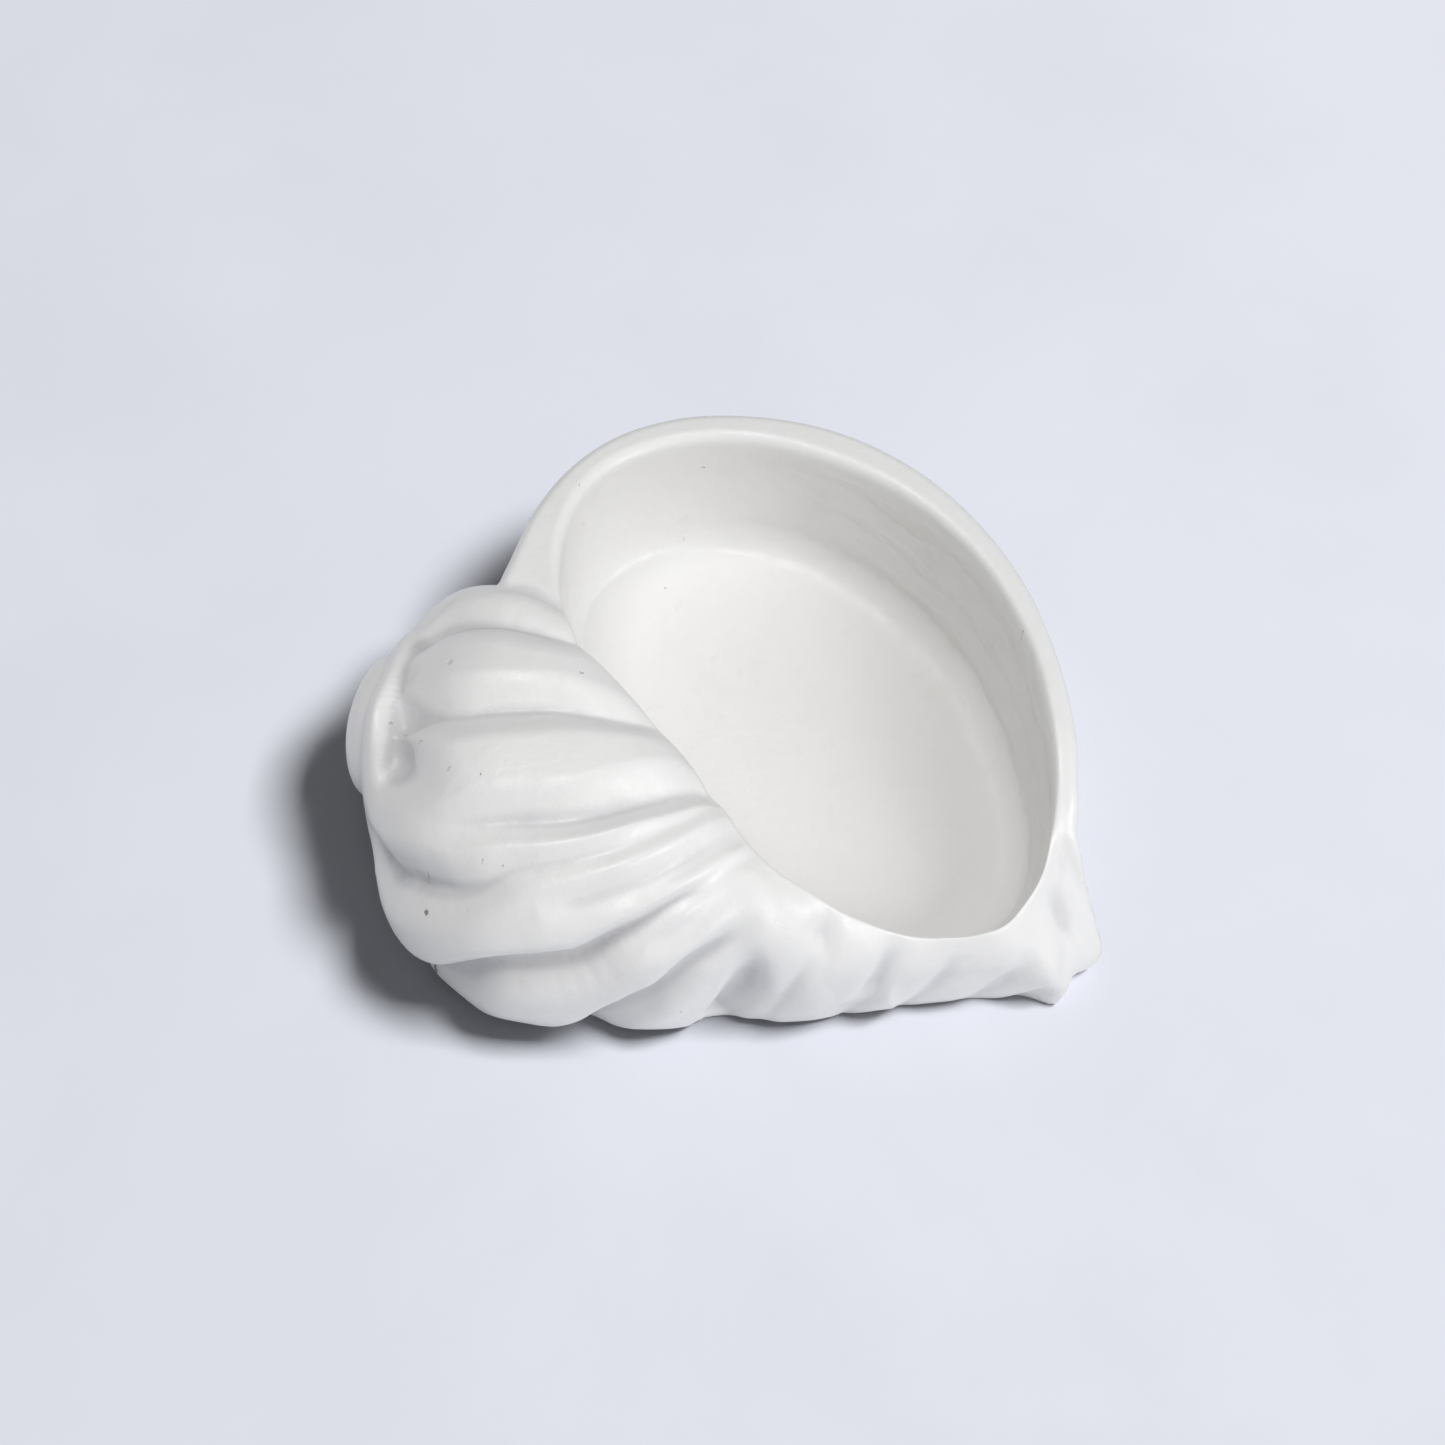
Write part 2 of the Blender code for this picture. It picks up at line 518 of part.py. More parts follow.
def main():
    for old in list(bpy.data.objects):
        bpy.data.objects.remove(old)
    shell = bpy.data.objects.new(NODE, shell_mesh())
    bpy.context.collection.objects.link(shell)
    bpy.context.view_layer.update()
    thinned(shell)
    stand(shell.data)
    shell.data.materials.clear()
    shell.data.materials.append(glazed_white())
    shell.data.shade_smooth()


if __name__ == "__main__":
    main()
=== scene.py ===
"""A one-piece cast dish in the shape of a conch shell, on a plain pale floor.

The dish starts as a sphere whose poles are the middles of its base and of the bowl's floor.
Each ring of the sphere is then drawn out onto the shell: the flat base, the ribbed outside with
its spire and spout, the edge of the opening, the bowl's wall and its floor.
Lengths in the tables are millimetres and angles are degrees.
"""

import bpy
import numpy as np
from math import cos, pi, radians, sin
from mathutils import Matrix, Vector


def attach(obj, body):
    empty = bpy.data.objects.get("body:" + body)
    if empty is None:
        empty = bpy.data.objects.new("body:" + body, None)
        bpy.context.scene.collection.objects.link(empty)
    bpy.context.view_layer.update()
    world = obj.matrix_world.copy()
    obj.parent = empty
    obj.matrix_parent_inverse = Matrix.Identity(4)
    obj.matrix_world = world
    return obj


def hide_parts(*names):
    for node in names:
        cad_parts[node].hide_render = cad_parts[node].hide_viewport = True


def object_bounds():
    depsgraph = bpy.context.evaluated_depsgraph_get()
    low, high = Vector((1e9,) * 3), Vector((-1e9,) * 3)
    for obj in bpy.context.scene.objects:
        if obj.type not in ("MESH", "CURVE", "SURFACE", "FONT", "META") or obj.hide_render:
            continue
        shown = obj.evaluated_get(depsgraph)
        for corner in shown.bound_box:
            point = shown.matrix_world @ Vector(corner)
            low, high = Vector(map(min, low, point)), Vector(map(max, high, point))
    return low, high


bl_info = {
    "name": "Conch shell dish",
    "version": (1, 0, 0),
    "blender": (4, 5, 0),
    "location": "3D View > Sidebar > Shell dish",
    "description": "Builds a cast conch shell dish and the table it stands on",
    "category": "Add Mesh",
}

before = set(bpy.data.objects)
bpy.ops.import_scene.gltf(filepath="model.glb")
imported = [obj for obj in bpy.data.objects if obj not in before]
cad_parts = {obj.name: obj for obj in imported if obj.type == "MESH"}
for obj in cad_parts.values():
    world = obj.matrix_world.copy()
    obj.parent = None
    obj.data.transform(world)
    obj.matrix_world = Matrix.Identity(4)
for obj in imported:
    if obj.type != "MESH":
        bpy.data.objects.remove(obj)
CAD_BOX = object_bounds()
NODE = "conch_shell_dish"
PIECE = "cast_shell"

# Segments round the sphere, and its rings under the base, up the outside, down the wall, on the floor.
SEGMENTS = 680
BASE_RINGS = 3
OUTSIDE_RINGS = 114
WALL_RINGS = 20
FLOOR_RINGS = 6

# Rays of the fan that finds the outside in each section, the height of its middle, and the rings
# gathered in the last stretch before the edge of the opening.
FAN_RAYS = 150
FAN_LEVEL = 20.0
EDGE_RINGS = 9
EDGE_STRETCH = 3.6

# What the camera looks at, in metres, its lens and sensor in millimetres, and the table's side.
CAMERA_TARGET = (0.0002, -0.0004, 0.024)
CAMERA_LENS = 85
CAMERA_SENSOR = 36
TABLE_SIDE = 6

# How much deeper the shallower folds are cut than in the solid, as a share of their depth.
MORE_FOLD = 0.55

# Where the surface is evened out: middle x and y, then half widths, and how many times.
EVEN_OUT = (13, -57, 11, 8)
EVEN_OUT_STEPS = 90

# Smoothing steps to find the surface's hollows, and the depths where painted shade begins and is full.
HOLLOW_STEPS = 60
SHADE_FROM = 0.02
SHADE_FULL = 0.62

# Dark nicks, small chips and faint smudges seen from above: place, length and angle.
NICKS = [(-66.2, -57.8, 2.2, -25), (-53.6, -34.7, 0.6, 0)]
CHIPS = [
    (-56.4, -60.9, 0.6, 0), (-65.9, -50.6, 0.8, 40), (-48.4, -54.5, 0.9, 70),
    (-52.9, -53.4, 0.9, 20), (-75.7, -13.1, 1.0, 60), (-72.3, -15.9, 1.1, 110),
    (-68.2, -21.8, 1.1, 80), (-60.9, -31.8, 1.5, 40), (69.9, 11.0, 1.2, 30),
    (-34.0, 52.8, 0.7, 0), (-9.5, 63.3, 0.6, 0)]
SMUDGES = [(-10.5, 45, 5, 20), (-2, 29.5, 4, 60), (4.5, 25, 4.5, 10), (26, -14, 4, 0)]

# The shell's own axis in plan, and a point on it.
AXIS_TURN = 14.0
AXIS_POINT = (0.0, -25.0)
BOWL_CENTRE = np.array([18.0, 0.0])

# Body by distance along the axis: side offset, half width, top, widest level, depth below it.
BODY_AT = [-44, -38, -31, -20, -12, 2, 16, 31, 44, 55, 65, 74, 84]
BODY_SIDE = [27, 28, 29, 29, 27.5, 23.5, 19.5, 13.5, 7.8, 4.2, 2.4, 0.7, -1]
BODY_HALF = [2, 4, 6.5, 10, 14, 26, 34, 43.5, 48.8, 49.2, 48, 47.2, 45]
BODY_TOP = [20, 25, 31, 39.5, 46, 53, 57.5, 58.5, 58, 56.5, 54, 51, 50]
BODY_MIDDLE = [14, 16, 18, 20, 20, 20, 20, 20, 20, 20, 21, 22, 23]
BODY_BELOW = [10, 14, 20, 28, 28, 28, 28, 28, 28, 28, 28, 28, 28]
BODY_END = -44.0
CAP_FROM = 48.0
CAP_TO = 80.0
CAP_POWER = 3.0
CAP_SLANT = 0.11
SECTION_POWER = 2.3

# The lip's outer outline and the edge of the opening, seen from above.
LIP_OUTLINE = [
    (-53, 25), (-50, 34), (-45, 47), (-38, 58), (-27, 68), (-12, 74), (7, 75), (26, 71), (44, 61),
    (59, 46), (71, 26), (78, 4), (81, -17), (81, -32), (81.5, -40), (84, -45), (88, -51),
    (87, -54.5), (84, -56), (81, -58.6), (80, -62), (78, -64.2), (74.5, -63.2), (71, -62.8),
    (64, -62.8), (52, -64.3), (41, -66.4), (33, -68), (23, -68), (11, -67), (3, -63), (-6, -54),
    (-25, -30), (-45, 0)]
OPENING = [
    (-38, 31), (-38, 24), (-37, 17), (-33, 5), (-24, -6.5), (-14, -18), (-3, -33), (2, -40),
    (7, -47), (13, -52.5), (19, -55.5), (26, -58.5), (33, -59.5), (40, -60.3), (49, -60),
    (58, -59), (63.5, -57), (68, -52.5), (72.3, -46), (74.4, -38), (75.3, -26), (74.4, -12),
    (69, 13), (57, 36), (41, 52), (25, 61), (6, 66.5), (-13, 65), (-30, 55), (-37, 40)]

# Hollows between the ripples below the front of the opening: angle, half width in degrees, depth.
HOLLOWS = [(-101.5, 3.2, 6), (-84, 2.8, 3.6), (-70.6, 2.4, 2.0), (-57.6, 2.4, 2.9),
           (-50.3, 1.8, 2.2)]
HOLLOW_LEAN = 0.42

# Round the bowl by angle: height of the lip at the opening, its fall outwards, the round of its
# outer corner, how far the foot is drawn in below what height, and how softly lip and body join.
TURN = [-180, -103, -95, -89, -82, -76, -70, -63, -56, -51, -46, -40, -36, -32, -24, -13, 0, 180]
LIP_HEIGHT = [46, 45, 44, 42.3, 39, 35, 32, 29.6, 29, 29.4, 31, 34.5, 37.3, 40, 43.5, 46, 46.5, 46.5]
LIP_FALL = [.1, .15, .2, .3, .4, .45, .5, .6, 1, 1.35, 1.35, 1.45, 1.45, .6, .12, .1, .1, .1]
LIP_ROUND = [2.6, 7, 9, 11, 12, 11, 10, 8, 6, 4.5, 4, 3.5, 3.5, 3, 2.6, 2.6, 2.6, 2.6]
FOOT_INSET = [5, 6, 6, 5, 4.5, 4, 3.5, 3, 2.5, 2.5, 2.5, 2.5, 2.5, 3, 4, 5, 5, 5]
FOOT_RISE = [30, 20, 18, 16, 14, 12, 11, 10, 9, 9, 9, 9, 10, 14, 22, 28, 30, 30]
LIP_BLEND = [1.6, 7, 11, 12, 10, 8, 7, 6, 6, 6, 5, 4, 3, 2, 1.6, 1.6, 1.6, 1.6]

# The spout's channel between its two tips.
CHANNEL_START = (74.0, -48.5)
CHANNEL_END = (87.0, -55.5)
CHANNEL_DEPTH = 3.0
CHANNEL_HALF = 3.3

# Whorls of the spire: station, side, height, their three half sizes, squareness, lobes, lobe depth.
WHORLS = [
    (80.3, 0.0, 24.0, 4.9, 27.5, 21.8, 2.4, 7, 0.03),
    (83.0, -3.5, 24.0, 7.4, 17.0, 17.0, 2.6, 0, 0.0),
    (86.0, -5.0, 20.0, 5.6, 11.0, 10.0, 2.2, 0, 0.0)]
LOBE_START = 0.5
SPIRE_LEAN = 0.0095
SPIRE_BLEND = 5.0

# The bowl's flat floor, its level, and the round between floor and wall.
FLOOR = [
    (-32, 46), (-28, 51), (-20, 57), (-4, 61), (13, 57), (33, 44), (51, 23), (62, -4), (65, -19),
    (64, -34), (58, -44), (46, -51), (31, -51), (18, -45), (7, -36), (-4, -21), (-16, -5),
    (-25, 9), (-31, 24), (-34, 36)]
FLOOR_LEVEL = 6.0
FLOOR_ROUND = 8.0
FLOOR_ROUND_HEIGHT = 8.5

# The soft round at the edge of the opening, by angle round the bowl.
EDGE_TURN = [-180, -60, -30, 0, 80, 150, 163, 180]
EDGE_ROUND = [0.7, 0.8, 1.8, 2.6, 3.2, 3.4, 0.9, 0.7]

# Height of the ribs over the plain body.
CROWN = 1.3

# Grooves between the ribs. A sharpness from 0 to 1, then points along the groove: station on the
# axis, angle round the body from the front over the top, depth, and its width upwards and downwards.
GROOVES = [
    (0.5, [(80, 128, 1.0, 7, 7), (70, 148, 2.0, 8, 8), (60, 152, 2.0, 8, 8), (52, 154, 1.5, 8, 8)]),
    (0.9, [(78, 117, 2.6, 8, 8), (74, 121, 3.8, 8, 10), (67, 122, 3.8, 8, 11), (59, 122, 3.6, 8, 11),
           (51, 123, 3.4, 7, 11), (42, 126, 2.6, 6, 9), (34, 134, 1.6, 5, 7)]),
    (0.75, [(76, 77, 1.6, 7, 7), (73, 82, 2.8, 9, 9), (68, 85, 3.4, 10, 10), (61, 87, 3.6, 10, 10),
            (50, 93, 3.8, 9, 10), (36, 104, 3.5, 8, 9), (25, 115, 2.8, 7, 8), (14, 134, 1.6, 6, 7)]),
    (0.25, [(77, 65, 3.6, 8, 9), (73, 67, 3.6, 10, 11), (69, 66, 2.4, 10, 11), (64, 64, 1.2, 10, 10),
            (58, 61, 0.4, 9, 9)]),
    (0.6, [(70, 54, 0.0, 8, 8), (57, 55, 1.0, 9, 9), (42, 63, 2.2, 9, 8), (26, 74, 3.4, 9, 7),
           (12, 95, 4.0, 9, 7), (1, 123, 2.8, 7, 6)]),
    (0.7, [(78, 0, 6.4, 9, 8), (74, 10, 6.0, 10, 9), (70, 19, 5.4, 11, 10), (65, 28, 5.4, 11, 10),
           (58, 34, 4.8, 11, 10), (51, 38, 3.6, 10, 9), (44, 44, 2.5, 9, 8), (38, 51, 1.8, 8, 7),
           (32, 55, 1.6, 7, 6), (15, 70, 1.4, 6, 5), (4, 94, 0.9, 5, 4), (-2, 119, 0.4, 4, 4)]),
    (0.3, [(30, 42, 0.0, 6, 6), (21, 47, 1.3, 6, 6), (9, 59, 1.9, 6, 6), (1, 76, 2.0, 5, 5),
           (-4, 96, 1.6, 5, 5), (-9, 134, 1.0, 5, 5)]),
    (1.0, [(72, -32, 7.0, 6, 12), (66, -24, 6.0, 6, 12), (62, -18, 5.6, 6, 12), (53, -5, 6.0, 6, 14),
           (40, 16, 6.0, 6, 14), (27, 23, 5.6, 6, 14), (20, 26, 5.0, 6, 12), (14, 34, 4.2, 5, 10),
           (7, 44, 3.4, 5, 8), (1, 56, 2.8, 4.5, 7), (-4, 67, 2.3, 4, 6), (-8, 84, 1.8, 4, 5),
           (-13, 128, 0.8, 4, 4)]),
    (0.3, [(10, 32, 0.0, 5, 5), (1, 40, 1.3, 5, 5), (-7, 59, 1.5, 4, 4), (-13, 84, 0.6, 4, 4)]),
    (0.8, [(26, -40, 6.5, 6, 10), (21, -28, 5.6, 6, 10), (17, -20, 4.8, 6, 10), (11, -5, 4.6, 6, 10),
           (6, 4, 4.4, 6, 9), (1, 13, 3.6, 5, 8), (-3, 24, 2.8, 5, 7), (-9, 36, 2.0, 5, 6),
           (-15, 56, 0.8, 5, 5)]),
    (0.6, [(-8, -30, 4.5, 6, 8), (-14, -4, 4.0, 6, 8), (-16, 18, 2.2, 6, 7), (-18, 38, 0.6, 6, 6)])]


def cubic(at, knots, values, slopes):
    """A smooth curve through the values, with the given slope at each knot."""
    steps = np.diff(knots)
    at = np.clip(at, knots[0], knots[-1])
    i = np.clip(np.searchsorted(knots, at, side="right") - 1, 0, len(knots) - 2)
    t = (at - knots[i]) / steps[i]
    start = (2 * t ** 3 - 3 * t ** 2 + 1) * values[i] + (3 * t ** 2 - 2 * t ** 3) * values[i + 1]
    return start + steps[i] * ((t ** 3 - 2 * t ** 2 + t) * slopes[i] + (t ** 3 - t ** 2) * slopes[i + 1])


def flowing(at, knots, values):
    """A curve through the values that may swing a little past them."""
    knots = np.asarray(knots, float)
    values = np.asarray(values, float)
    return cubic(at, knots, values, np.gradient(values, knots))


def steady(at, knots, values):
    """A curve through the values that never swings past them."""
    knots = np.asarray(knots, float)
    values = np.asarray(values, float)
    steps = np.diff(knots)
    rises = np.diff(values) / steps
    slopes = np.zeros_like(values)
    near = 2 * steps[1:] + steps[:-1]
    far = steps[1:] + 2 * steps[:-1]
    turning = rises[:-1] * rises[1:] <= 0
    first = np.where(turning, 1, rises[:-1])
    second = np.where(turning, 1, rises[1:])
    slopes[1:-1] = np.where(turning, 0, (near + far) / (near / first + far / second))
    slopes[0] = rises[0]
    slopes[-1] = rises[-1]
    return cubic(at, knots, values, slopes)


def outline_radius(turn, points):
    """Distance from the bowl centre to a closed outline, at each angle in radians."""
    offset = np.asarray(points, float) - BOWL_CENTRE
    angle = np.arctan2(offset[:, 1], offset[:, 0])
    order = np.argsort(angle)
    angle = angle[order]
    radius = np.hypot(offset[:, 0], offset[:, 1])[order]
    angle = np.concatenate([angle[-3:] - 2 * pi, angle, angle[:3] + 2 * pi])
    radius = np.concatenate([radius[-3:], radius, radius[:3]])
    return flowing((turn + pi) % (2 * pi) - pi, angle, radius)


def by_turn(turn, table):
    """A table's value at each angle round the bowl, in radians."""
    return steady(np.degrees(turn), TURN, table)


def shell_axes(x, y):
    """Distance along the shell's axis towards the spire, and sideways towards the front."""
    turn = radians(AXIS_TURN)
    x = x - AXIS_POINT[0]
    y = y - AXIS_POINT[1]
    return y * sin(turn) - x * cos(turn), -x * sin(turn) - y * cos(turn)


def body_section(station):
    """Middle, half width, level, height above and depth below of the body's section."""
    middle = steady(station, BODY_AT, BODY_MIDDLE)
    above = steady(station, BODY_AT, BODY_TOP) - middle
    below = steady(station, BODY_AT, BODY_BELOW)
    return (steady(station, BODY_AT, BODY_SIDE), steady(station, BODY_AT, BODY_HALF),
            middle, above, below)


def into_cap(station, side):
    """0 where the body's rounded end begins, 1 at its tip."""
    share = (station + CAP_SLANT * (side - 5) - CAP_FROM) / (CAP_TO - CAP_FROM)
    return np.maximum(share, 0)


def body(points):
    """How deep each point lies in the body. Points outside it are negative."""
    station, side = shell_axes(points[..., 0], points[..., 1])
    centre, half, middle, above, below = body_section(station)
    across = side - centre
    rise = points[..., 2] - middle
    ring = np.abs(across / half) ** SECTION_POWER
    ring = ring + np.abs(rise / np.where(rise > 0, above, below)) ** SECTION_POWER
    ring = ring ** (1 / SECTION_POWER) + 1e-6
    cap = into_cap(station, side)
    size = (cap ** CAP_POWER + ring ** CAP_POWER) ** (1 / CAP_POWER)
    slope = np.hypot(cap ** (CAP_POWER - 1) / (CAP_TO - CAP_FROM),
                     ring ** CAP_POWER / (np.hypot(across, rise) + 1e-6))
    depth = (1 - size) / (slope * size ** (1 - CAP_POWER))
    return np.minimum(depth, station - BODY_END)


def body_surface(station, angle):
    """Point of the plain body at a station and an angle round it."""
    turn = np.radians(angle)
    size = np.abs(np.cos(turn)) ** SECTION_POWER + np.abs(np.sin(turn)) ** SECTION_POWER
    size = size ** (1 / SECTION_POWER)
    centre, half, middle, above, below = body_section(station)
    side = centre
    for _ in range(4):
        cap = np.minimum(into_cap(station, side), 0.9995)
        shrink = (1 - cap ** CAP_POWER) ** (1 / CAP_POWER)
        side = centre + half * shrink * np.cos(turn) / size
    z = middle + np.where(np.sin(turn) > 0, above, below) * shrink * np.sin(turn) / size
    axis = radians(AXIS_TURN)
    x = AXIS_POINT[0] - station * cos(axis) - side * sin(axis)
    y = AXIS_POINT[1] + station * sin(axis) - side * cos(axis)
    return np.stack([x, y, z], -1)


def lip(points):
    """How deep each point lies in the lip and the wall below it."""
    x = points[..., 0] - BOWL_CENTRE[0]
    y = points[..., 1] - BOWL_CENTRE[1]
    z = points[..., 2]
    radius = np.hypot(x, y)
    turn = np.arctan2(y, x)
    low = np.clip(1 - z / by_turn(turn, FOOT_RISE), 0, 1)
    outwards = np.clip(radius - outline_radius(turn, OPENING), -2, 40)
    off_edge = np.clip(outwards / 8, 0, 1)
    lean = np.radians(HOLLOW_LEAN) * z * np.clip((-75 - np.degrees(turn)) / 30, 0, 0.5) * off_edge
    to_side = outline_radius(turn - lean, LIP_OUTLINE) - by_turn(turn, FOOT_INSET) * low ** 1.8 - radius
    top = by_turn(turn, LIP_HEIGHT) - by_turn(turn, LIP_FALL) * outwards
    for angle, half, hollow in HOLLOWS:
        from_hollow = np.degrees(turn) - angle - HOLLOW_LEAN * z
        hollow = hollow * np.exp(-(from_hollow / half) ** 2) * off_edge
        to_side = to_side - hollow
        top = top - 0.25 * hollow
    run = np.subtract(CHANNEL_END, CHANNEL_START)
    run = run / np.hypot(*run)
    from_start = points[..., :2] - CHANNEL_START
    along = from_start @ run
    across = from_start[..., 0] * run[1] - from_start[..., 1] * run[0]
    fade = np.clip((along + 4) / 8, 0, 1)
    to_top = top - CHANNEL_DEPTH * fade * np.exp(-(across / CHANNEL_HALF) ** 2) - z
    bend = by_turn(turn, LIP_ROUND)
    rounded = bend - np.hypot(np.maximum(bend - to_side, 0), np.maximum(bend - to_top, 0))
    near_corner = (to_side < bend) & (to_top < bend)
    return np.where(near_corner, rounded, np.minimum(to_side, to_top))


def whorl(points, station, side, height, long_half, side_half, high_half, power, lobes, depth):
    """How deep each point lies in one whorl of the spire."""
    along, across = shell_axes(points[..., 0], points[..., 1])
    along = along - station + SPIRE_LEAN * np.maximum(across, 0) ** 2
    across = across - side
    up = points[..., 2] - height
    wave = 1 + depth * np.cos(lobes * (np.arctan2(up / high_half, across / side_half) - LOBE_START))
    ring = np.hypot(across / side_half, up / high_half) / wave
    size = (np.abs(along / long_half) ** power + ring ** power) ** (1 / power) + 1e-6
    slope = np.hypot(np.abs(along / long_half) ** (power - 1) / long_half,
                     ring ** (power - 1) * 2 / (side_half + high_half))
    return (1 - size) / (slope * size ** (1 - power) + 1e-6)


def joined(first, second, blend):
    """Both forms together, with a small round where they meet."""
    share = np.clip(0.5 + 0.5 * (first - second) / blend, 0, 1)
    return second + (first - second) * share + blend * share * (1 - share)


def spire(points):
    """How deep each point lies in the whorls of the spire."""
    first, second, third = (whorl(points, *values) for values in WHORLS)
    return joined(joined(first, second, 0.8), third, 0.8)


def outside(points):
    """How deep each point lies in the whole shell, as if there were no bowl."""
    turn = np.arctan2(points[..., 1] - BOWL_CENTRE[1], points[..., 0] - BOWL_CENTRE[0])
    depth = joined(body(points), lip(points), by_turn(turn, LIP_BLEND))
    depth = joined(depth, spire(points), SPIRE_BLEND)
    return np.minimum(depth, points[..., 2] + 0.01)


def groove_paths():
    """The middle line of each groove on the plain body, its upward side and its sizes."""
    for sharpness, rows in GROOVES:
        rows = np.array(rows, float)
        lengths = np.hypot(np.diff(rows[:, 0]), np.diff(rows[:, 1]) * 0.6)
        knots = np.concatenate([[0], np.cumsum(lengths)])
        at = np.linspace(0, knots[-1], 48)
        station = flowing(at, knots, rows[:, 0])
        angle = flowing(at, knots, rows[:, 1])
        line = body_surface(station, angle)
        forward = np.gradient(line, axis=0)
        forward /= np.linalg.norm(forward, axis=1)[:, None]
        up = body_surface(station, angle + 1) - line
        up -= (up * forward).sum(1)[:, None] * forward
        up /= np.linalg.norm(up, axis=1)[:, None] + 1e-9
        sizes = np.stack([steady(at, knots, rows[:, column]) for column in (2, 3, 4)], -1)
        yield sharpness, line, up, sizes


def rib_height(points):
    """How far the ribbed surface stands over the plain body at each point."""
    cut = np.zeros(len(points))
    for sharpness, line, up, sizes in groove_paths():
        squares = ((points[:, None, :] - line[None, :, :]) ** 2).sum(-1)
        nearest = squares.argmin(1)
        best = np.full(len(points), np.inf)
        chosen = np.zeros((len(points), 4))
        for first in (np.maximum(nearest - 1, 0), np.minimum(nearest, len(line) - 2)):
            step = line[first + 1] - line[first]
            away = points - line[first]
            along = np.clip((away * step).sum(1) / (step ** 2).sum(1), 0, 1)[:, None]
            away = away - along * step
            closer = (away ** 2).sum(1) < best
            best = np.where(closer, (away ** 2).sum(1), best)
            upwards = (away * (up[first] * (1 - along) + up[first + 1] * along)).sum(1)
            here = np.column_stack([sizes[first] * (1 - along) + sizes[first + 1] * along, upwards])
            chosen = np.where(closer[:, None], here, chosen)
        depth, width_up, width_down, upwards = chosen.T
        width = np.where(upwards > 0, width_up, width_down)
        distance = np.sqrt(best + 0.5 ** 2) - 0.5
        share = np.clip(distance / width, 0, 1)
        fold = sharpness * (1 - share) ** 2 + (1 - sharpness) * (0.5 + 0.5 * np.cos(pi * share))
        fold = fold * depth
        cut = np.maximum(cut, fold) + 0.25 * np.minimum(cut, fold)
    cut = cut + MORE_FOLD * cut * np.clip(1 - cut / 8, 0, 1)
    return CROWN - cut


def outermost(start, direction, reach):
    """Distance along each ray to the shell's surface, coming in from outside."""
    distance = np.full(len(start), float(reach))
    beyond = distance.copy()
    moving = np.ones(len(start), bool)
    for _ in range(400):
        rays = np.nonzero(moving)[0]
        if len(rays) == 0:
            break
        depth = outside(start[rays] + direction[rays] * distance[rays, None])
        moving[rays[depth > 0]] = False
        out = rays[depth <= 0]
        beyond[out] = distance[out]
        distance[out] -= np.maximum(0.3, -0.55 * depth[depth <= 0])
        lost = out[distance[out] < 0.2]
        distance[lost] = 0.2
        moving[lost] = False
    for _ in range(16):
        middle = (distance + beyond) / 2
        solid = outside(start + direction * middle[:, None]) > 0
        distance = np.where(solid, middle, distance)
        beyond = np.where(solid, beyond, middle)
    return (distance + beyond) / 2


def surface_normals(points):
    """Outward directions of the plain surface."""
    normals = np.empty_like(points)
    for axis in range(3):
        step = np.zeros(3)
        step[axis] = 0.25
        normals[:, axis] = outside(points - step) - outside(points + step)
    return normals / (np.linalg.norm(normals, axis=1)[:, None] + 1e-9)


def segment_angles():
    """Angles round the bowl, closer together over the ribs."""
    fine = np.linspace(-pi, pi, 2001)
    from_ribs = np.abs((np.degrees(fine) + 325) % 360 - 180)
    weight = 1 + 1.4 / (1 + np.exp((from_ribs - 78) / 8))
    total = np.concatenate([[0], np.cumsum((weight[1:] + weight[:-1]) / 2)])
    return np.interp(np.arange(SEGMENTS) / SEGMENTS, total / total[-1], fine)


def place(ray, radius, height):
    """Points at a distance from the bowl centre along each segment's ray, and at a height."""
    plan = BOWL_CENTRE + radius[..., None] * ray.reshape(SEGMENTS, *[1] * (radius.ndim - 1), 2)
    return np.concatenate([plan, (height + 0 * radius)[..., None]], -1)


def from_centre(points):
    """Distance of each point from the bowl centre, seen from above."""
    return np.linalg.norm(points[..., :2] - BOWL_CENTRE, axis=-1)


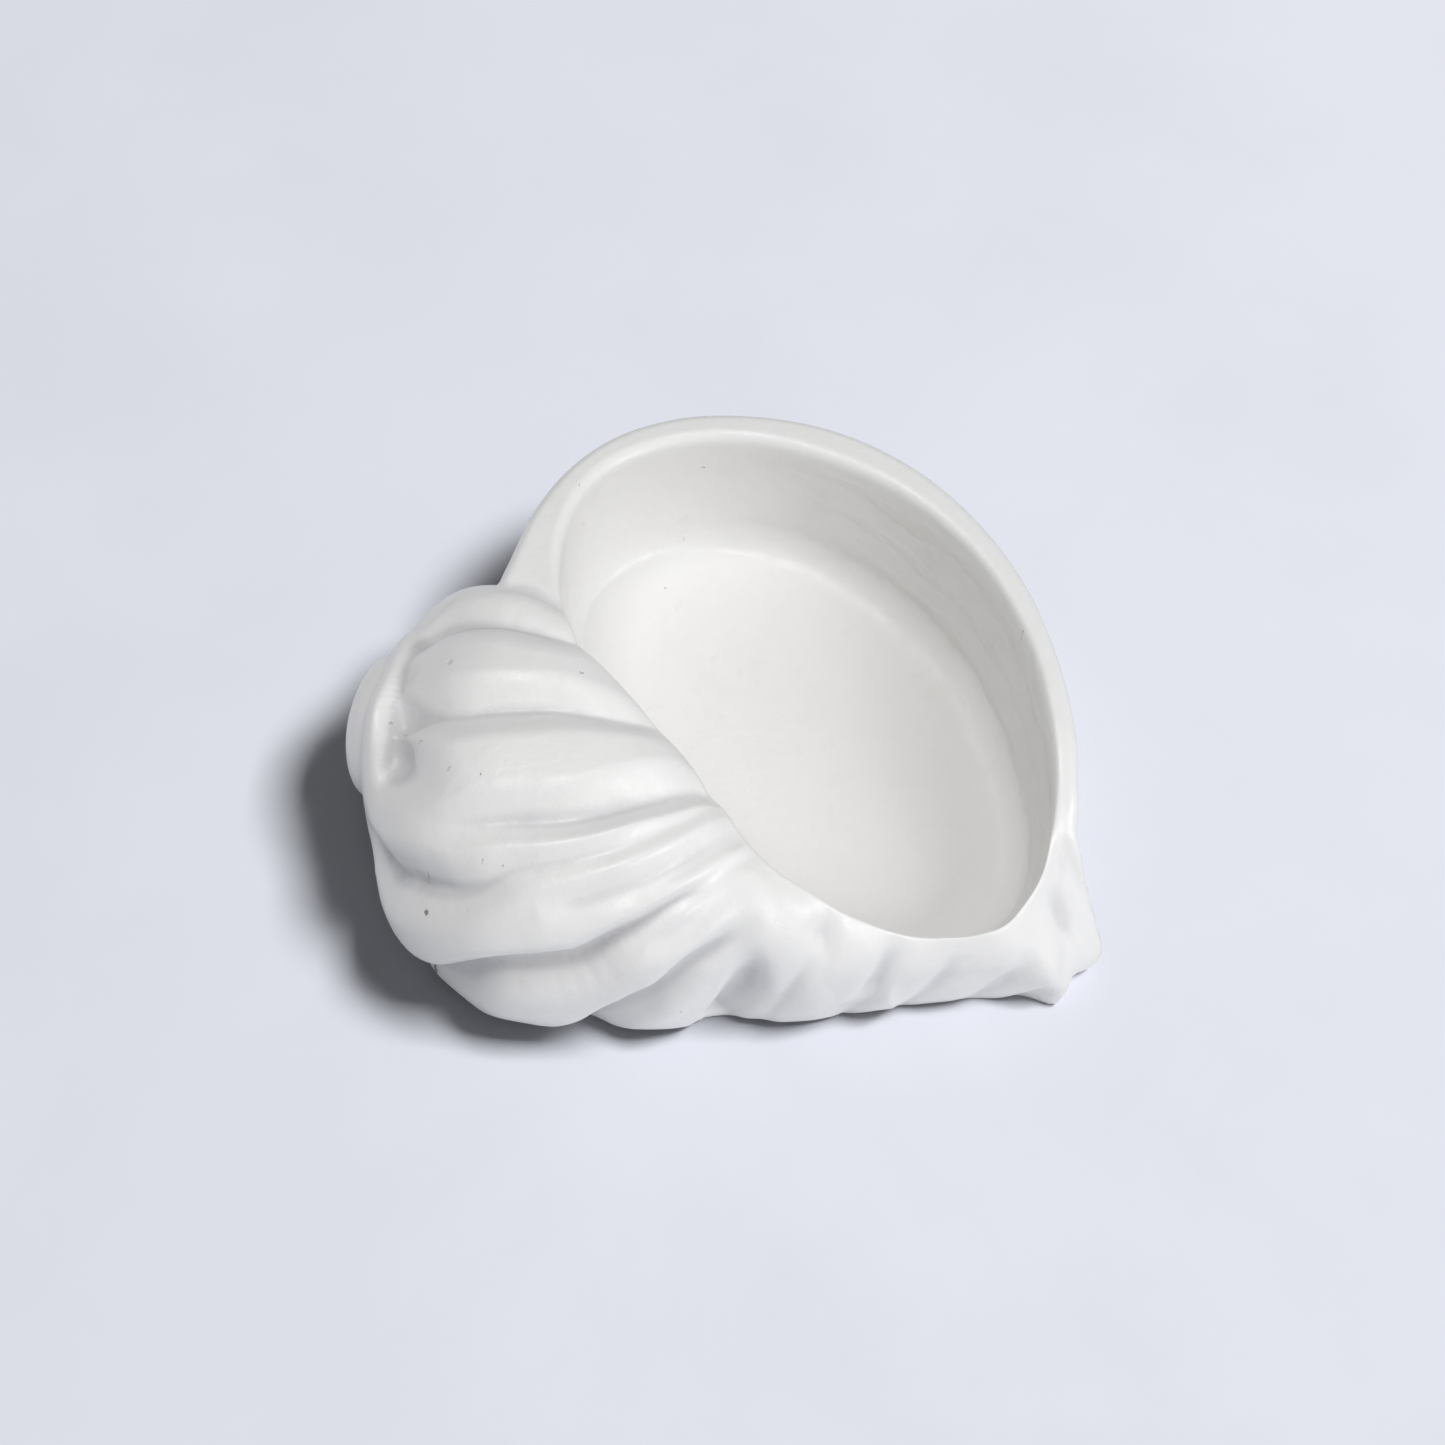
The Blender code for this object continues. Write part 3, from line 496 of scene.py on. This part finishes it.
def plain_outside(ray, edge):
    """The outside without ribs, from the foot to the edge, and the way up to each point.

    In each upright section a fan of rays finds the surface, which is then divided evenly.
    """
    zero = np.zeros(SEGMENTS)
    centre = np.concatenate([np.tile(BOWL_CENTRE, (SEGMENTS, 1)), np.full((SEGMENTS, 1), 0.02)], 1)
    foot = outermost(centre, np.column_stack([ray, zero]), 135)
    edge_height = outermost(place(ray, edge, 0), np.tile([0.0, 0.0, 1.0], (SEGMENTS, 1)), 80)
    pivot = edge + np.clip(0.3 * (np.maximum(foot, edge + 6) - edge), 1.5, 22)
    first = np.arctan2(-FAN_LEVEL, foot - pivot)
    last = np.arctan2(edge_height - FAN_LEVEL, edge - pivot)
    lean = first[:, None] + (last - first)[:, None] * np.linspace(0, 1, FAN_RAYS)
    start = np.repeat(place(ray, pivot, FAN_LEVEL), FAN_RAYS, axis=0)
    flat = (np.cos(lean)[..., None] * ray[:, None, :]).reshape(-1, 2)
    direction = np.column_stack([flat, np.sin(lean).ravel()])
    reach = outermost(start, direction, 110).reshape(lean.shape)
    reach[:, 0] = np.hypot(foot - pivot, FAN_LEVEL)
    reach[:, -1] = np.hypot(edge - pivot, edge_height - FAN_LEVEL)
    radius = pivot[:, None] + reach * np.cos(lean)
    height = FAN_LEVEL + reach * np.sin(lean)
    run = np.cumsum(np.hypot(np.diff(radius, axis=1), np.diff(height, axis=1)), axis=1)
    run = np.column_stack([zero, run])
    way = run[:, -1:] - EDGE_STRETCH * np.linspace(1, 0, EDGE_RINGS) ** 1.3
    below = np.linspace(0, 1, OUTSIDE_RINGS - EDGE_RINGS + 1)[:-1]
    way = np.column_stack([way[:, :1] * below, way])
    radius = np.array([np.interp(*row) for row in zip(way, run, radius)])
    height = np.array([np.interp(*row) for row in zip(way, run, height)])
    return place(ray, radius, height), way


def ribbed(points, way):
    """The outside with its ribs, only where the body is the outermost form."""
    points = points.reshape(-1, 3)
    others = joined(lip(points), spire(points), 1)
    share = np.clip(0.5 + (body(points) - others) / 4, 0, 1) * np.clip(points[:, 2] / 3, 0, 1)
    to_edge = (way[:, -1:] - way).ravel()
    share = share * (0.6 + 0.4 * np.clip(to_edge / 14, 0, 1))
    points = points + surface_normals(points) * (rib_height(points) * share)[:, None]
    points[:, 2] = np.maximum(points[:, 2], 0)
    return points.reshape(SEGMENTS, OUTSIDE_RINGS, 3)


def finish_edge(points, turn, ray, edge, way):
    """Draw the outside back onto the edge of the opening and give it a soft round."""
    off_edge = edge - from_centre(points)[:, -1]
    back = off_edge[:, None] * np.clip(1 - (way[:, -1:] - way) / 8, 0, 1) ** 2
    points[..., :2] += back[..., None] * ray[:, None, :]
    bend = np.interp(np.degrees(turn), EDGE_TURN, EDGE_ROUND)[:, None]
    inside_round = bend - np.clip(from_centre(points) - edge[:, None], 0, bend)
    drop = bend - np.sqrt(bend ** 2 - inside_round ** 2)
    points[..., 2] -= np.where(way > way[:, -1:] * 0.6, drop, 0)


def bowl_rings(turn, ray, edge, level):
    """The bowl's wall, the round at its foot and its floor."""
    rings = []
    floor_edge = np.minimum(outline_radius(turn, FLOOR), edge - 3)
    bend = np.minimum(FLOOR_ROUND, (edge - floor_edge) * 0.85)
    bend_top = FLOOR_LEVEL + FLOOR_ROUND_HEIGHT
    straight = max(3, int(WALL_RINGS * 0.45))
    for share in np.linspace(0, 1, straight + 1)[1:]:
        radius = edge + (floor_edge + bend - edge) * share
        rings.append(place(ray, radius, level + (bend_top - level) * share))
    for angle in np.linspace(pi / 2, 0, WALL_RINGS - straight + 1)[1:]:
        height = FLOOR_LEVEL + FLOOR_ROUND_HEIGHT * (1 - cos(angle))
        rings.append(place(ray, floor_edge + bend * sin(angle), height))
    for share in np.linspace(1, 0, FLOOR_RINGS + 2)[1:-1]:
        rings.append(place(ray, floor_edge * share, FLOOR_LEVEL))
    return np.stack(rings, 1)


def shell_rings():
    """Points of the sphere's rings, from near the base's middle to near the floor's middle."""
    turn = segment_angles()
    ray = np.stack([np.cos(turn), np.sin(turn)], -1)
    edge = outline_radius(turn, OPENING)
    points, way = plain_outside(ray, edge)
    points = ribbed(points, way)
    finish_edge(points, turn, ray, edge, way)
    foot = from_centre(points[:, 0])
    base = [place(ray, foot * share, 0) for share in np.linspace(0, 1, BASE_RINGS + 2)[1:-1]]
    bowl = bowl_rings(turn, ray, edge, points[:, -1, 2])
    return np.concatenate([np.stack(base, 1), points, bowl], 1)


class ShellSizes(bpy.types.PropertyGroup):
    """Colours and finish of the cast dish."""
    colour: bpy.props.FloatVectorProperty(
        name="Colour", description="Colour of the cast surface", subtype="COLOR", size=3,
        min=0, max=1, default=(0.80, 0.80, 0.797))
    tint: bpy.props.FloatVectorProperty(
        name="Warm tint", description="Colour that has settled in the bowl",
        subtype="COLOR", size=3, min=0, max=1, default=(0.765, 0.74, 0.715))
    nick_colour: bpy.props.FloatVectorProperty(
        name="Nicks", description="Colour in the small pits and nicks", subtype="COLOR", size=3,
        min=0, max=1, default=(0.16, 0.145, 0.13))
    # Painted shade: a cool grey laid into the deep folds in place of the shade that falls there.
    fold_shade_colour: bpy.props.FloatVectorProperty(
        name="Folds", description="Colour of the fine dust deep in the folds", subtype="COLOR",
        size=3, min=0, max=1, default=(0.52, 0.52, 0.545))
    grain: bpy.props.FloatProperty(
        name="Grain height", description="Height of the fine cast grain", unit="LENGTH",
        min=0, precision=6, default=0.00005)
    pit_depth: bpy.props.FloatProperty(
        name="Pit depth", description="Depth of the casting pits", unit="LENGTH",
        min=0, precision=6, default=0.00035)
    smooth: bpy.props.FloatProperty(
        name="Smoothest", description="Roughness of the most polished places", subtype="FACTOR",
        min=0, max=1, default=0.30)
    matt: bpy.props.FloatProperty(
        name="Mattest", description="Roughness of the dullest places", subtype="FACTOR",
        min=0, max=1, default=0.52)


class TableSettings(bpy.types.PropertyGroup):
    """The table, the lights and the camera."""
    floor_colour: bpy.props.FloatVectorProperty(
        name="Floor", description="Colour of the plain table", subtype="COLOR", size=3,
        min=0, max=1, default=(0.364, 0.373, 0.410))
    front_power: bpy.props.FloatProperty(
        name="Front light", description="Power of the soft light at the front right",
        unit="POWER", min=0, default=9.3)
    top_power: bpy.props.FloatProperty(
        name="Top light", description="Power of the soft light overhead", unit="POWER",
        min=0, default=7.7)
    table_power: bpy.props.FloatProperty(
        name="Table light", description="Power of the light that lays the shadow on the table",
        unit="POWER", min=0, default=510.0)
    room: bpy.props.FloatProperty(
        name="Room light", description="Strength of the even light of the room",
        subtype="FACTOR", min=0, max=2, default=0.225)
    distance: bpy.props.FloatProperty(
        name="Camera distance", description="From the camera to the dish", unit="LENGTH",
        min=0.1, default=0.805)
    elevation: bpy.props.FloatProperty(
        name="Camera height angle", description="How far the camera looks down", unit="ROTATION",
        default=radians(58))


def deselect_all():
    for item in bpy.context.selected_objects:
        item.select_set(False)


def hollowness(outer):
    """How far each point lies below the surface smoothed around it."""
    soft = outer.copy()
    for _ in range(HOLLOW_STEPS):
        beside = np.roll(soft, 1, axis=0) + np.roll(soft, -1, axis=0)
        soft[:, 1:-1] = (beside[:, 1:-1] + soft[:, 2:] + soft[:, :-2]) / 4
    round_way = np.roll(outer, -1, axis=0) - np.roll(outer, 1, axis=0)
    normal = np.cross(round_way, np.gradient(outer, axis=1))
    normal /= np.linalg.norm(normal, axis=-1, keepdims=True)
    return ((soft - outer) * normal).sum(-1)


def tint_and_fold_shade(rings):
    """Shares of the warm tint, mostly on the right of the bowl, and of the painted shade in the folds.
    """
    turn = np.degrees(segment_angles())[:, None]
    settled = np.full(rings.shape[:2], 0.1)
    outside_end = BASE_RINGS + OUTSIDE_RINGS
    outer = rings[:, BASE_RINGS:outside_end]
    fold = np.zeros(rings.shape[:2])
    # Painted shade: the deeper a point lies below the smoothed surface, the more cool grey it gets.
    deep = (hollowness(outer) - SHADE_FROM) / (SHADE_FULL - SHADE_FROM)
    fold[:, BASE_RINGS:outside_end] = np.clip(deep, 0, 1)
    right = np.clip((turn + 75) / 40, 0, 1) * np.clip((125 - turn) / 60, 0, 1)
    wall_end = outside_end + WALL_RINGS
    settled[:, outside_end:wall_end] = 0.15 + 0.45 * right
    settled[:, wall_end:] = 0.4
    return settled, fold


def even_out(rings):
    """Smooth the meeting of the body's tail and the front of the lip."""
    outer = rings[:, BASE_RINGS:BASE_RINGS + OUTSIDE_RINGS]
    x, y, z = np.moveaxis(outer, -1, 0)
    middle_x, middle_y, half_x, half_y = EVEN_OUT
    share = np.exp(-((x - middle_x) / half_x) ** 2 - ((y - middle_y) / half_y) ** 2)
    below_edge = OUTSIDE_RINGS - 12 - np.arange(OUTSIDE_RINGS)
    share = share * np.clip(z / 6, 0, 1) * np.clip(below_edge / 16, 0, 1)
    near = np.nonzero(share.max(1) > 0.002)[0]
    patch = outer[near[0] - 1:near[-1] + 2]
    share = 0.9 * share[near[0]:near[-1] + 1, 1:-1, None]
    for _ in range(EVEN_OUT_STEPS):
        middle = (patch[2:, 1:-1] + patch[:-2, 1:-1] + patch[1:-1, 2:] + patch[1:-1, :-2]) / 4
        patch[1:-1, 1:-1] += share * (middle - patch[1:-1, 1:-1])


def add_shell():
    """The sphere, drawn out ring by ring onto the shell."""
    rings = shell_rings()
    even_out(rings)
    count = rings.shape[1]
    bpy.ops.mesh.primitive_uv_sphere_add(segments=SEGMENTS, ring_count=count + 1, radius=1)
    shell = bpy.context.object
    shell.name = PIECE
    mesh = shell.data
    mesh.name = PIECE
    points = np.empty(len(mesh.vertices) * 3)
    mesh.vertices.foreach_get("co", points)
    points = points.reshape(-1, 3)
    segment = np.rint(np.arctan2(points[:, 1], points[:, 0]) / (2 * pi) * SEGMENTS)
    segment = segment.astype(int) % SEGMENTS
    ring = np.rint(np.arccos(np.clip(-points[:, 2], -1, 1)) / pi * (count + 1)).astype(int)
    inner = np.clip(ring - 1, 0, count - 1)
    placed = rings[segment, inner]
    placed[ring == 0] = [*BOWL_CENTRE, 0]
    placed[ring == count + 1] = [*BOWL_CENTRE, FLOOR_LEVEL]
    placed /= 1000
    low, high = CAD_BOX
    middle = (placed[:, :2].min(0) + placed[:, :2].max(0)) / 2
    placed[:, :2] += (np.array(low[:2]) + np.array(high[:2])) / 2 - middle
    mesh.vertices.foreach_set("co", placed.ravel())
    # The fold values carry the painted shade in the folds into the material.
    for name, values in zip(("settled", "fold"), tint_and_fold_shade(rings)):
        layer = mesh.attributes.new(name, "FLOAT", "POINT")
        layer.data.foreach_set("value", values[segment, inner])
    mesh.update()
    return shell


def new_group(name, sockets_in, sockets_out):
    """A shader node group. Returns it, what it is given and what is wanted of it."""
    group = bpy.data.node_groups.new(name, "ShaderNodeTree")
    for label, kind, value in sockets_in:
        socket = group.interface.new_socket(label, in_out="INPUT", socket_type=kind)
        socket.default_value = value
    for label, kind in sockets_out:
        group.interface.new_socket(label, in_out="OUTPUT", socket_type=kind)
    start = group.nodes.new("NodeGroupInput")
    end = group.nodes.new("NodeGroupOutput")
    return group, start.outputs, end.inputs


def maths(tree, operation, *values):
    """A math node whose inputs are sockets or numbers. Returns its output."""
    node = tree.nodes.new("ShaderNodeMath")
    node.operation = operation
    for socket, value in zip(node.inputs, values):
        if isinstance(value, bpy.types.NodeSocket):
            tree.links.new(value, socket)
        else:
            socket.default_value = value
    return node.outputs[0]


def spread(tree, value, low, high, to_low=0.0, to_high=1.0):
    """A smooth step of the value from one range to another. Returns its output."""
    node = tree.nodes.new("ShaderNodeMapRange")
    node.interpolation_type = "SMOOTHSTEP"
    tree.links.new(value, node.inputs["Value"])
    node.inputs["From Min"].default_value = low
    node.inputs["From Max"].default_value = high
    node.inputs["To Min"].default_value = to_low
    node.inputs["To Max"].default_value = to_high
    return node.outputs["Result"]


def mixed(tree, share, first, second):
    """A colour mix. Returns its output."""
    node = tree.nodes.new("ShaderNodeMix")
    node.data_type = "RGBA"
    tree.links.new(share, node.inputs["Factor"])
    for socket, value in ((node.inputs["A"], first), (node.inputs["B"], second)):
        if isinstance(value, bpy.types.NodeSocket):
            tree.links.new(value, socket)
        else:
            socket.default_value = (*value, 1)
    return node.outputs["Result"]


def noise(tree, place, scale, detail, roughness=0.5):
    """A noise texture at the given place. Returns its value output."""
    node = tree.nodes.new("ShaderNodeTexNoise")
    tree.links.new(place, node.inputs["Vector"])
    node.inputs["Scale"].default_value = scale
    node.inputs["Detail"].default_value = detail
    node.inputs["Roughness"].default_value = roughness
    return node.outputs["Fac"]


def mesh_value(tree, name):
    """A value kept on the mesh. Returns its output."""
    node = tree.nodes.new("ShaderNodeAttribute")
    node.attribute_name = name
    return node.outputs["Fac"]


def casting_pits():
    """Round pits, one in a few cells of a random grid."""
    group, given, wanted = new_group(
        "casting_pits",
        [("Place", "NodeSocketVector", (0, 0, 0)), ("Scale", "NodeSocketFloat", 100.0),
         ("Size", "NodeSocketFloat", 0.06), ("Share", "NodeSocketFloat", 0.2)],
        [("Pits", "NodeSocketFloat")])
    cells = group.nodes.new("ShaderNodeTexVoronoi")
    group.links.new(given["Place"], cells.inputs["Vector"])
    group.links.new(given["Scale"], cells.inputs["Scale"])
    apart = group.nodes.new("ShaderNodeSeparateColor")
    group.links.new(cells.outputs["Color"], apart.inputs["Color"])
    chosen = maths(group, "LESS_THAN", apart.outputs[0], given["Share"])
    size = maths(group, "MULTIPLY", given["Size"], spread(group, apart.outputs[1], 0, 1, 0.5, 1.4))
    inside = maths(group, "SUBTRACT", 1.0, maths(group, "DIVIDE", cells.outputs["Distance"], size))
    soft = spread(group, inside, 0.0, 0.6)
    group.links.new(maths(group, "MULTIPLY", soft, chosen), wanted["Pits"])
    return group


def small_nick():
    """One nick at a place seen from above."""
    group, given, wanted = new_group(
        "small_nick",
        [("Place", "NodeSocketVector", (0, 0, 0)), ("Nick", "NodeSocketVector", (0, 0, 0)),
         ("Length", "NodeSocketFloat", 0.002), ("Lean", "NodeSocketFloat", 0.0)],
        [("Mask", "NodeSocketFloat")])
    away = group.nodes.new("ShaderNodeVectorMath")
    away.operation = "SUBTRACT"
    group.links.new(given["Place"], away.inputs[0])
    group.links.new(given["Nick"], away.inputs[1])
    turned = group.nodes.new("ShaderNodeVectorRotate")
    turned.rotation_type = "Z_AXIS"
    group.links.new(away.outputs[0], turned.inputs["Vector"])
    group.links.new(given["Lean"], turned.inputs["Angle"])
    flat = group.nodes.new("ShaderNodeVectorMath")
    flat.operation = "MULTIPLY"
    group.links.new(turned.outputs[0], flat.inputs[0])
    flat.inputs[1].default_value = (2.2, 1, 0)
    length = group.nodes.new("ShaderNodeVectorMath")
    length.operation = "LENGTH"
    group.links.new(flat.outputs[0], length.inputs[0])
    ragged = noise(group, given["Place"], 1500, 2)
    reach = maths(group, "MULTIPLY", given["Length"], spread(group, ragged, 0.3, 0.7, 0.35, 0.65))
    inside = maths(group, "DIVIDE", length.outputs["Value"], reach)
    group.links.new(spread(group, inside, 1.0, 0.5), wanted["Mask"])
    return group


def put_group(tree, group, **values):
    """A group placed in a material, with its inputs linked or set by name."""
    node = tree.nodes.new("ShaderNodeGroup")
    node.node_tree = group
    for label, value in values.items():
        if isinstance(value, bpy.types.NodeSocket):
            tree.links.new(value, node.inputs[label])
        else:
            node.inputs[label].default_value = value
    return node.outputs[0]


def marks(tree, group, place, table):
    """All nicks, chips or smudges of a table. Returns their mask."""
    found = None
    for x, y, length, lean in table:
        mask = put_group(tree, group, Place=place, Nick=(x / 1000, y / 1000, 0),
                         Length=length / 1000, Lean=radians(lean))
        found = mask if found is None else maths(tree, "MAXIMUM", found, mask)
    return found


def principled(name):
    """A new material with its node tree and shader."""
    material = bpy.data.materials.new(name)
    material.use_nodes = True
    tree = material.node_tree
    return material, tree, tree.nodes["Principled BSDF"]


def cast_white(sizes):
    """Off-white satin casting with a fine grain, pits, nicks, a warm settled tint and painted shade in
    the folds.
    """
    material, tree, shader = principled("cast_white")
    place = tree.nodes.new("ShaderNodeTexCoord").outputs["Object"]
    settled = mesh_value(tree, "settled")
    stretch = tree.nodes.new("ShaderNodeMapping")
    tree.links.new(place, stretch.inputs["Vector"])
    stretch.inputs["Rotation"].default_value = (0, 0, radians(-35))
    stretch.inputs["Scale"].default_value = (1, 0.28, 0.6)
    streaks = noise(tree, stretch.outputs["Vector"], 170, 4, 0.6)
    clouds = noise(tree, place, 42, 4, 0.55)
    patches = noise(tree, place, 130, 5, 0.6)
    height = tree.nodes.new("ShaderNodeSeparateXYZ")
    tree.links.new(place, height.inputs["Vector"])
    bend = maths(tree, "MULTIPLY_ADD", clouds, 0.02, height.outputs["Z"])
    bands = maths(tree, "SINE", maths(tree, "MULTIPLY", bend, 560.0))

    # Colour: warm where dust has settled, with faint bands, stains and streaks.
    warm = maths(tree, "MULTIPLY", settled, spread(tree, clouds, 0.3, 0.7, 0.35, 0.75))
    bands = spread(tree, bands, 0.2, 1.0, 0, 0.35)
    banded = maths(tree, "MULTIPLY", spread(tree, settled, 0.3, 0.6), bands)
    colour = mixed(tree, maths(tree, "ADD", warm, banded), sizes.colour, sizes.tint)
    stain = maths(tree, "ADD", spread(tree, patches, 0.56, 0.76, 0, 0.22),
                  spread(tree, streaks, 0.55, 0.8, 0, 0.16))
    pit_group = casting_pits()
    pits = maths(tree, "MAXIMUM",
                 put_group(tree, pit_group, Place=place, Scale=210.0, Size=0.08, Share=0.05),
                 put_group(tree, pit_group, Place=place, Scale=62.0, Size=0.045, Share=0.2))
    nick_group = small_nick()
    nicks = marks(tree, nick_group, place, NICKS)
    chips = marks(tree, nick_group, place, CHIPS)
    smudges = marks(tree, nick_group, place, SMUDGES)
    stain = maths(tree, "MULTIPLY_ADD", smudges, 0.22, stain)
    colour = mixed(tree, stain, colour, [0.9 * value for value in sizes.tint])
    # Painted shade: deep in the folds the colour turns to a cool grey, standing in for the shade there.
    fold = maths(tree, "MULTIPLY", mesh_value(tree, "fold"), spread(tree, patches, 0.2, 0.8, 0.35, 0.6))
    colour = mixed(tree, fold, colour, sizes.fold_shade_colour)
    dark = maths(tree, "MAXIMUM", maths(tree, "MULTIPLY", pits, 0.14),
                 maths(tree, "MULTIPLY", nicks, 0.8))
    colour = mixed(tree, dark, colour, sizes.nick_colour)
    tree.links.new(colour, shader.inputs["Base Color"])

    # Gloss: a worn satin, duller in patches and in the pits.
    gloss = spread(tree, patches, 0.3, 0.7, sizes.smooth, sizes.matt)
    gloss = maths(tree, "MULTIPLY_ADD", settled, 0.08, gloss)
    tree.links.new(maths(tree, "MULTIPLY_ADD", dark, 0.3, gloss), shader.inputs["Roughness"])

    # Relief: the fine grain, a slight unevenness, the bands and the pits.
    grain = noise(tree, place, 1900, 3, 0.6)
    uneven = noise(tree, place, 240, 3)
    relief = maths(tree, "MULTIPLY", grain, sizes.grain)
    relief = maths(tree, "MULTIPLY_ADD", uneven, sizes.grain * 4, relief)
    relief = maths(tree, "MULTIPLY_ADD", banded, sizes.grain * 6, relief)
    deep = maths(tree, "MAXIMUM", maths(tree, "MAXIMUM", pits, nicks), chips)
    relief = maths(tree, "MULTIPLY_ADD", deep, -sizes.pit_depth, relief)
    bump = tree.nodes.new("ShaderNodeBump")
    bump.inputs["Distance"].default_value = 1.0
    bump.inputs["Strength"].default_value = 0.85
    tree.links.new(relief, bump.inputs["Height"])
    tree.links.new(bump.outputs["Normal"], shader.inputs["Normal"])
    return material


def pale_floor(settings):
    """A plain matt table with a hardly visible mottle."""
    material, tree, shader = principled("pale_floor")
    place = tree.nodes.new("ShaderNodeTexCoord").outputs["Object"]
    mottle = spread(tree, noise(tree, place, 14, 3), 0.3, 0.7)
    deeper = [0.97 * value for value in settings.floor_colour]
    colour = mixed(tree, mottle, settings.floor_colour, deeper)
    tree.links.new(colour, shader.inputs["Base Color"])
    tree.links.new(spread(tree, noise(tree, place, 60, 3), 0.3, 0.7, 0.8, 0.9),
                   shader.inputs["Roughness"])
    return material


class SHELLDISH_OT_shell(bpy.types.Operator):
    """Cast the dish"""
    bl_idname = "shelldish.shell"
    bl_label = "Cast shell"

    def execute(self, context):
        deselect_all()
        shell = add_shell()
        shell.data.materials.append(cast_white(context.scene.shell_sizes))
        shell.data.shade_smooth()
        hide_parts(NODE)
        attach(shell, "root")
        return {"FINISHED"}


def aim(item, target):
    """Turn a light or the camera towards a place."""
    direction = Vector(target) - item.location
    item.rotation_euler = direction.to_track_quat("-Z", "Y").to_euler()


def lit_only(name, item):
    """A collection that holds one object, for a light that falls on it alone."""
    group = bpy.data.collections.new(name)
    bpy.context.scene.collection.children.link(group)
    group.objects.link(item)
    return group


def add_light(name, turn, rise, distance, size, power, falls_on):
    """A square soft light aimed at the dish, that falls on one collection alone."""
    turn = radians(turn)
    rise = radians(rise)
    place = distance * Vector((cos(turn) * cos(rise), sin(turn) * cos(rise), sin(rise)))
    bpy.ops.object.light_add(type="AREA", location=place)
    light = bpy.context.object
    light.name = name
    light.data.name = name
    light.data.shape = "SQUARE"
    light.data.size = size
    light.data.energy = power
    aim(light, (0, 0, 0))
    light.light_linking.receiver_collection = falls_on


class SHELLDISH_OT_stage(bpy.types.Operator):
    """Lay the table and set the lights and the camera"""
    bl_idname = "shelldish.stage"
    bl_label = "Table, lights and camera"

    def execute(self, context):
        settings = context.scene.table_settings
        deselect_all()
        bpy.ops.mesh.primitive_plane_add(size=TABLE_SIDE)
        floor = bpy.context.object
        floor.name = "table_top"
        floor.data.materials.append(pale_floor(settings))
        on_shell = lit_only("light_on_shell", bpy.data.objects[PIECE])
        on_table = lit_only("light_on_table", floor)
        add_light("front_light", turn=321, rise=33, distance=1.3, size=0.6,
                  power=settings.front_power, falls_on=on_shell)
        add_light("top_light", turn=170, rise=79, distance=1.3, size=0.6,
                  power=settings.top_power, falls_on=on_shell)
        add_light("table_light", turn=354, rise=61, distance=5.0, size=1.4,
                  power=settings.table_power, falls_on=on_table)
        world = bpy.data.worlds.new("soft_room")
        world.use_nodes = True
        background = world.node_tree.nodes["Background"]
        background.inputs["Color"].default_value = (1, 1, 1, 1)
        background.inputs["Strength"].default_value = settings.room
        context.scene.world = world
        context.scene.view_settings.view_transform = "Standard"
        bpy.ops.object.camera_add()
        camera = bpy.context.object
        camera.name = "photo_camera"
        camera.data.lens = CAMERA_LENS
        camera.data.sensor_width = CAMERA_SENSOR
        target = Vector(CAMERA_TARGET)
        away = Vector((0, -cos(settings.elevation), sin(settings.elevation)))
        camera.location = target + away * settings.distance
        aim(camera, target)
        context.scene.camera = camera
        return {"FINISHED"}


class SHELLDISH_PT_panel(bpy.types.Panel):
    """Everything that makes the dish"""
    bl_label = "Conch shell dish"
    bl_idname = "SHELLDISH_PT_panel"
    bl_space_type = "VIEW_3D"
    bl_region_type = "UI"
    bl_category = "Shell dish"

    def draw(self, context):
        layout = self.layout
        sizes = context.scene.shell_sizes
        for name in ("colour", "tint", "nick_colour", "fold_shade_colour", "grain", "pit_depth",
                     "smooth", "matt"):
            layout.prop(sizes, name)
        layout.operator("shelldish.shell")
        settings = context.scene.table_settings
        for name in ("floor_colour", "front_power", "top_power", "table_power", "room",
                     "distance", "elevation"):
            layout.prop(settings, name)
        layout.operator("shelldish.stage")


CLASSES = (ShellSizes, TableSettings, SHELLDISH_OT_shell, SHELLDISH_OT_stage, SHELLDISH_PT_panel)


def register():
    for item in CLASSES:
        bpy.utils.register_class(item)
    bpy.types.Scene.shell_sizes = bpy.props.PointerProperty(type=ShellSizes)
    bpy.types.Scene.table_settings = bpy.props.PointerProperty(type=TableSettings)


def unregister():
    del bpy.types.Scene.table_settings
    del bpy.types.Scene.shell_sizes
    for item in reversed(CLASSES):
        bpy.utils.unregister_class(item)


def main():
    register()
    bpy.ops.shelldish.shell()
    bpy.ops.shelldish.stage()


if __name__ == "__main__":
    main()
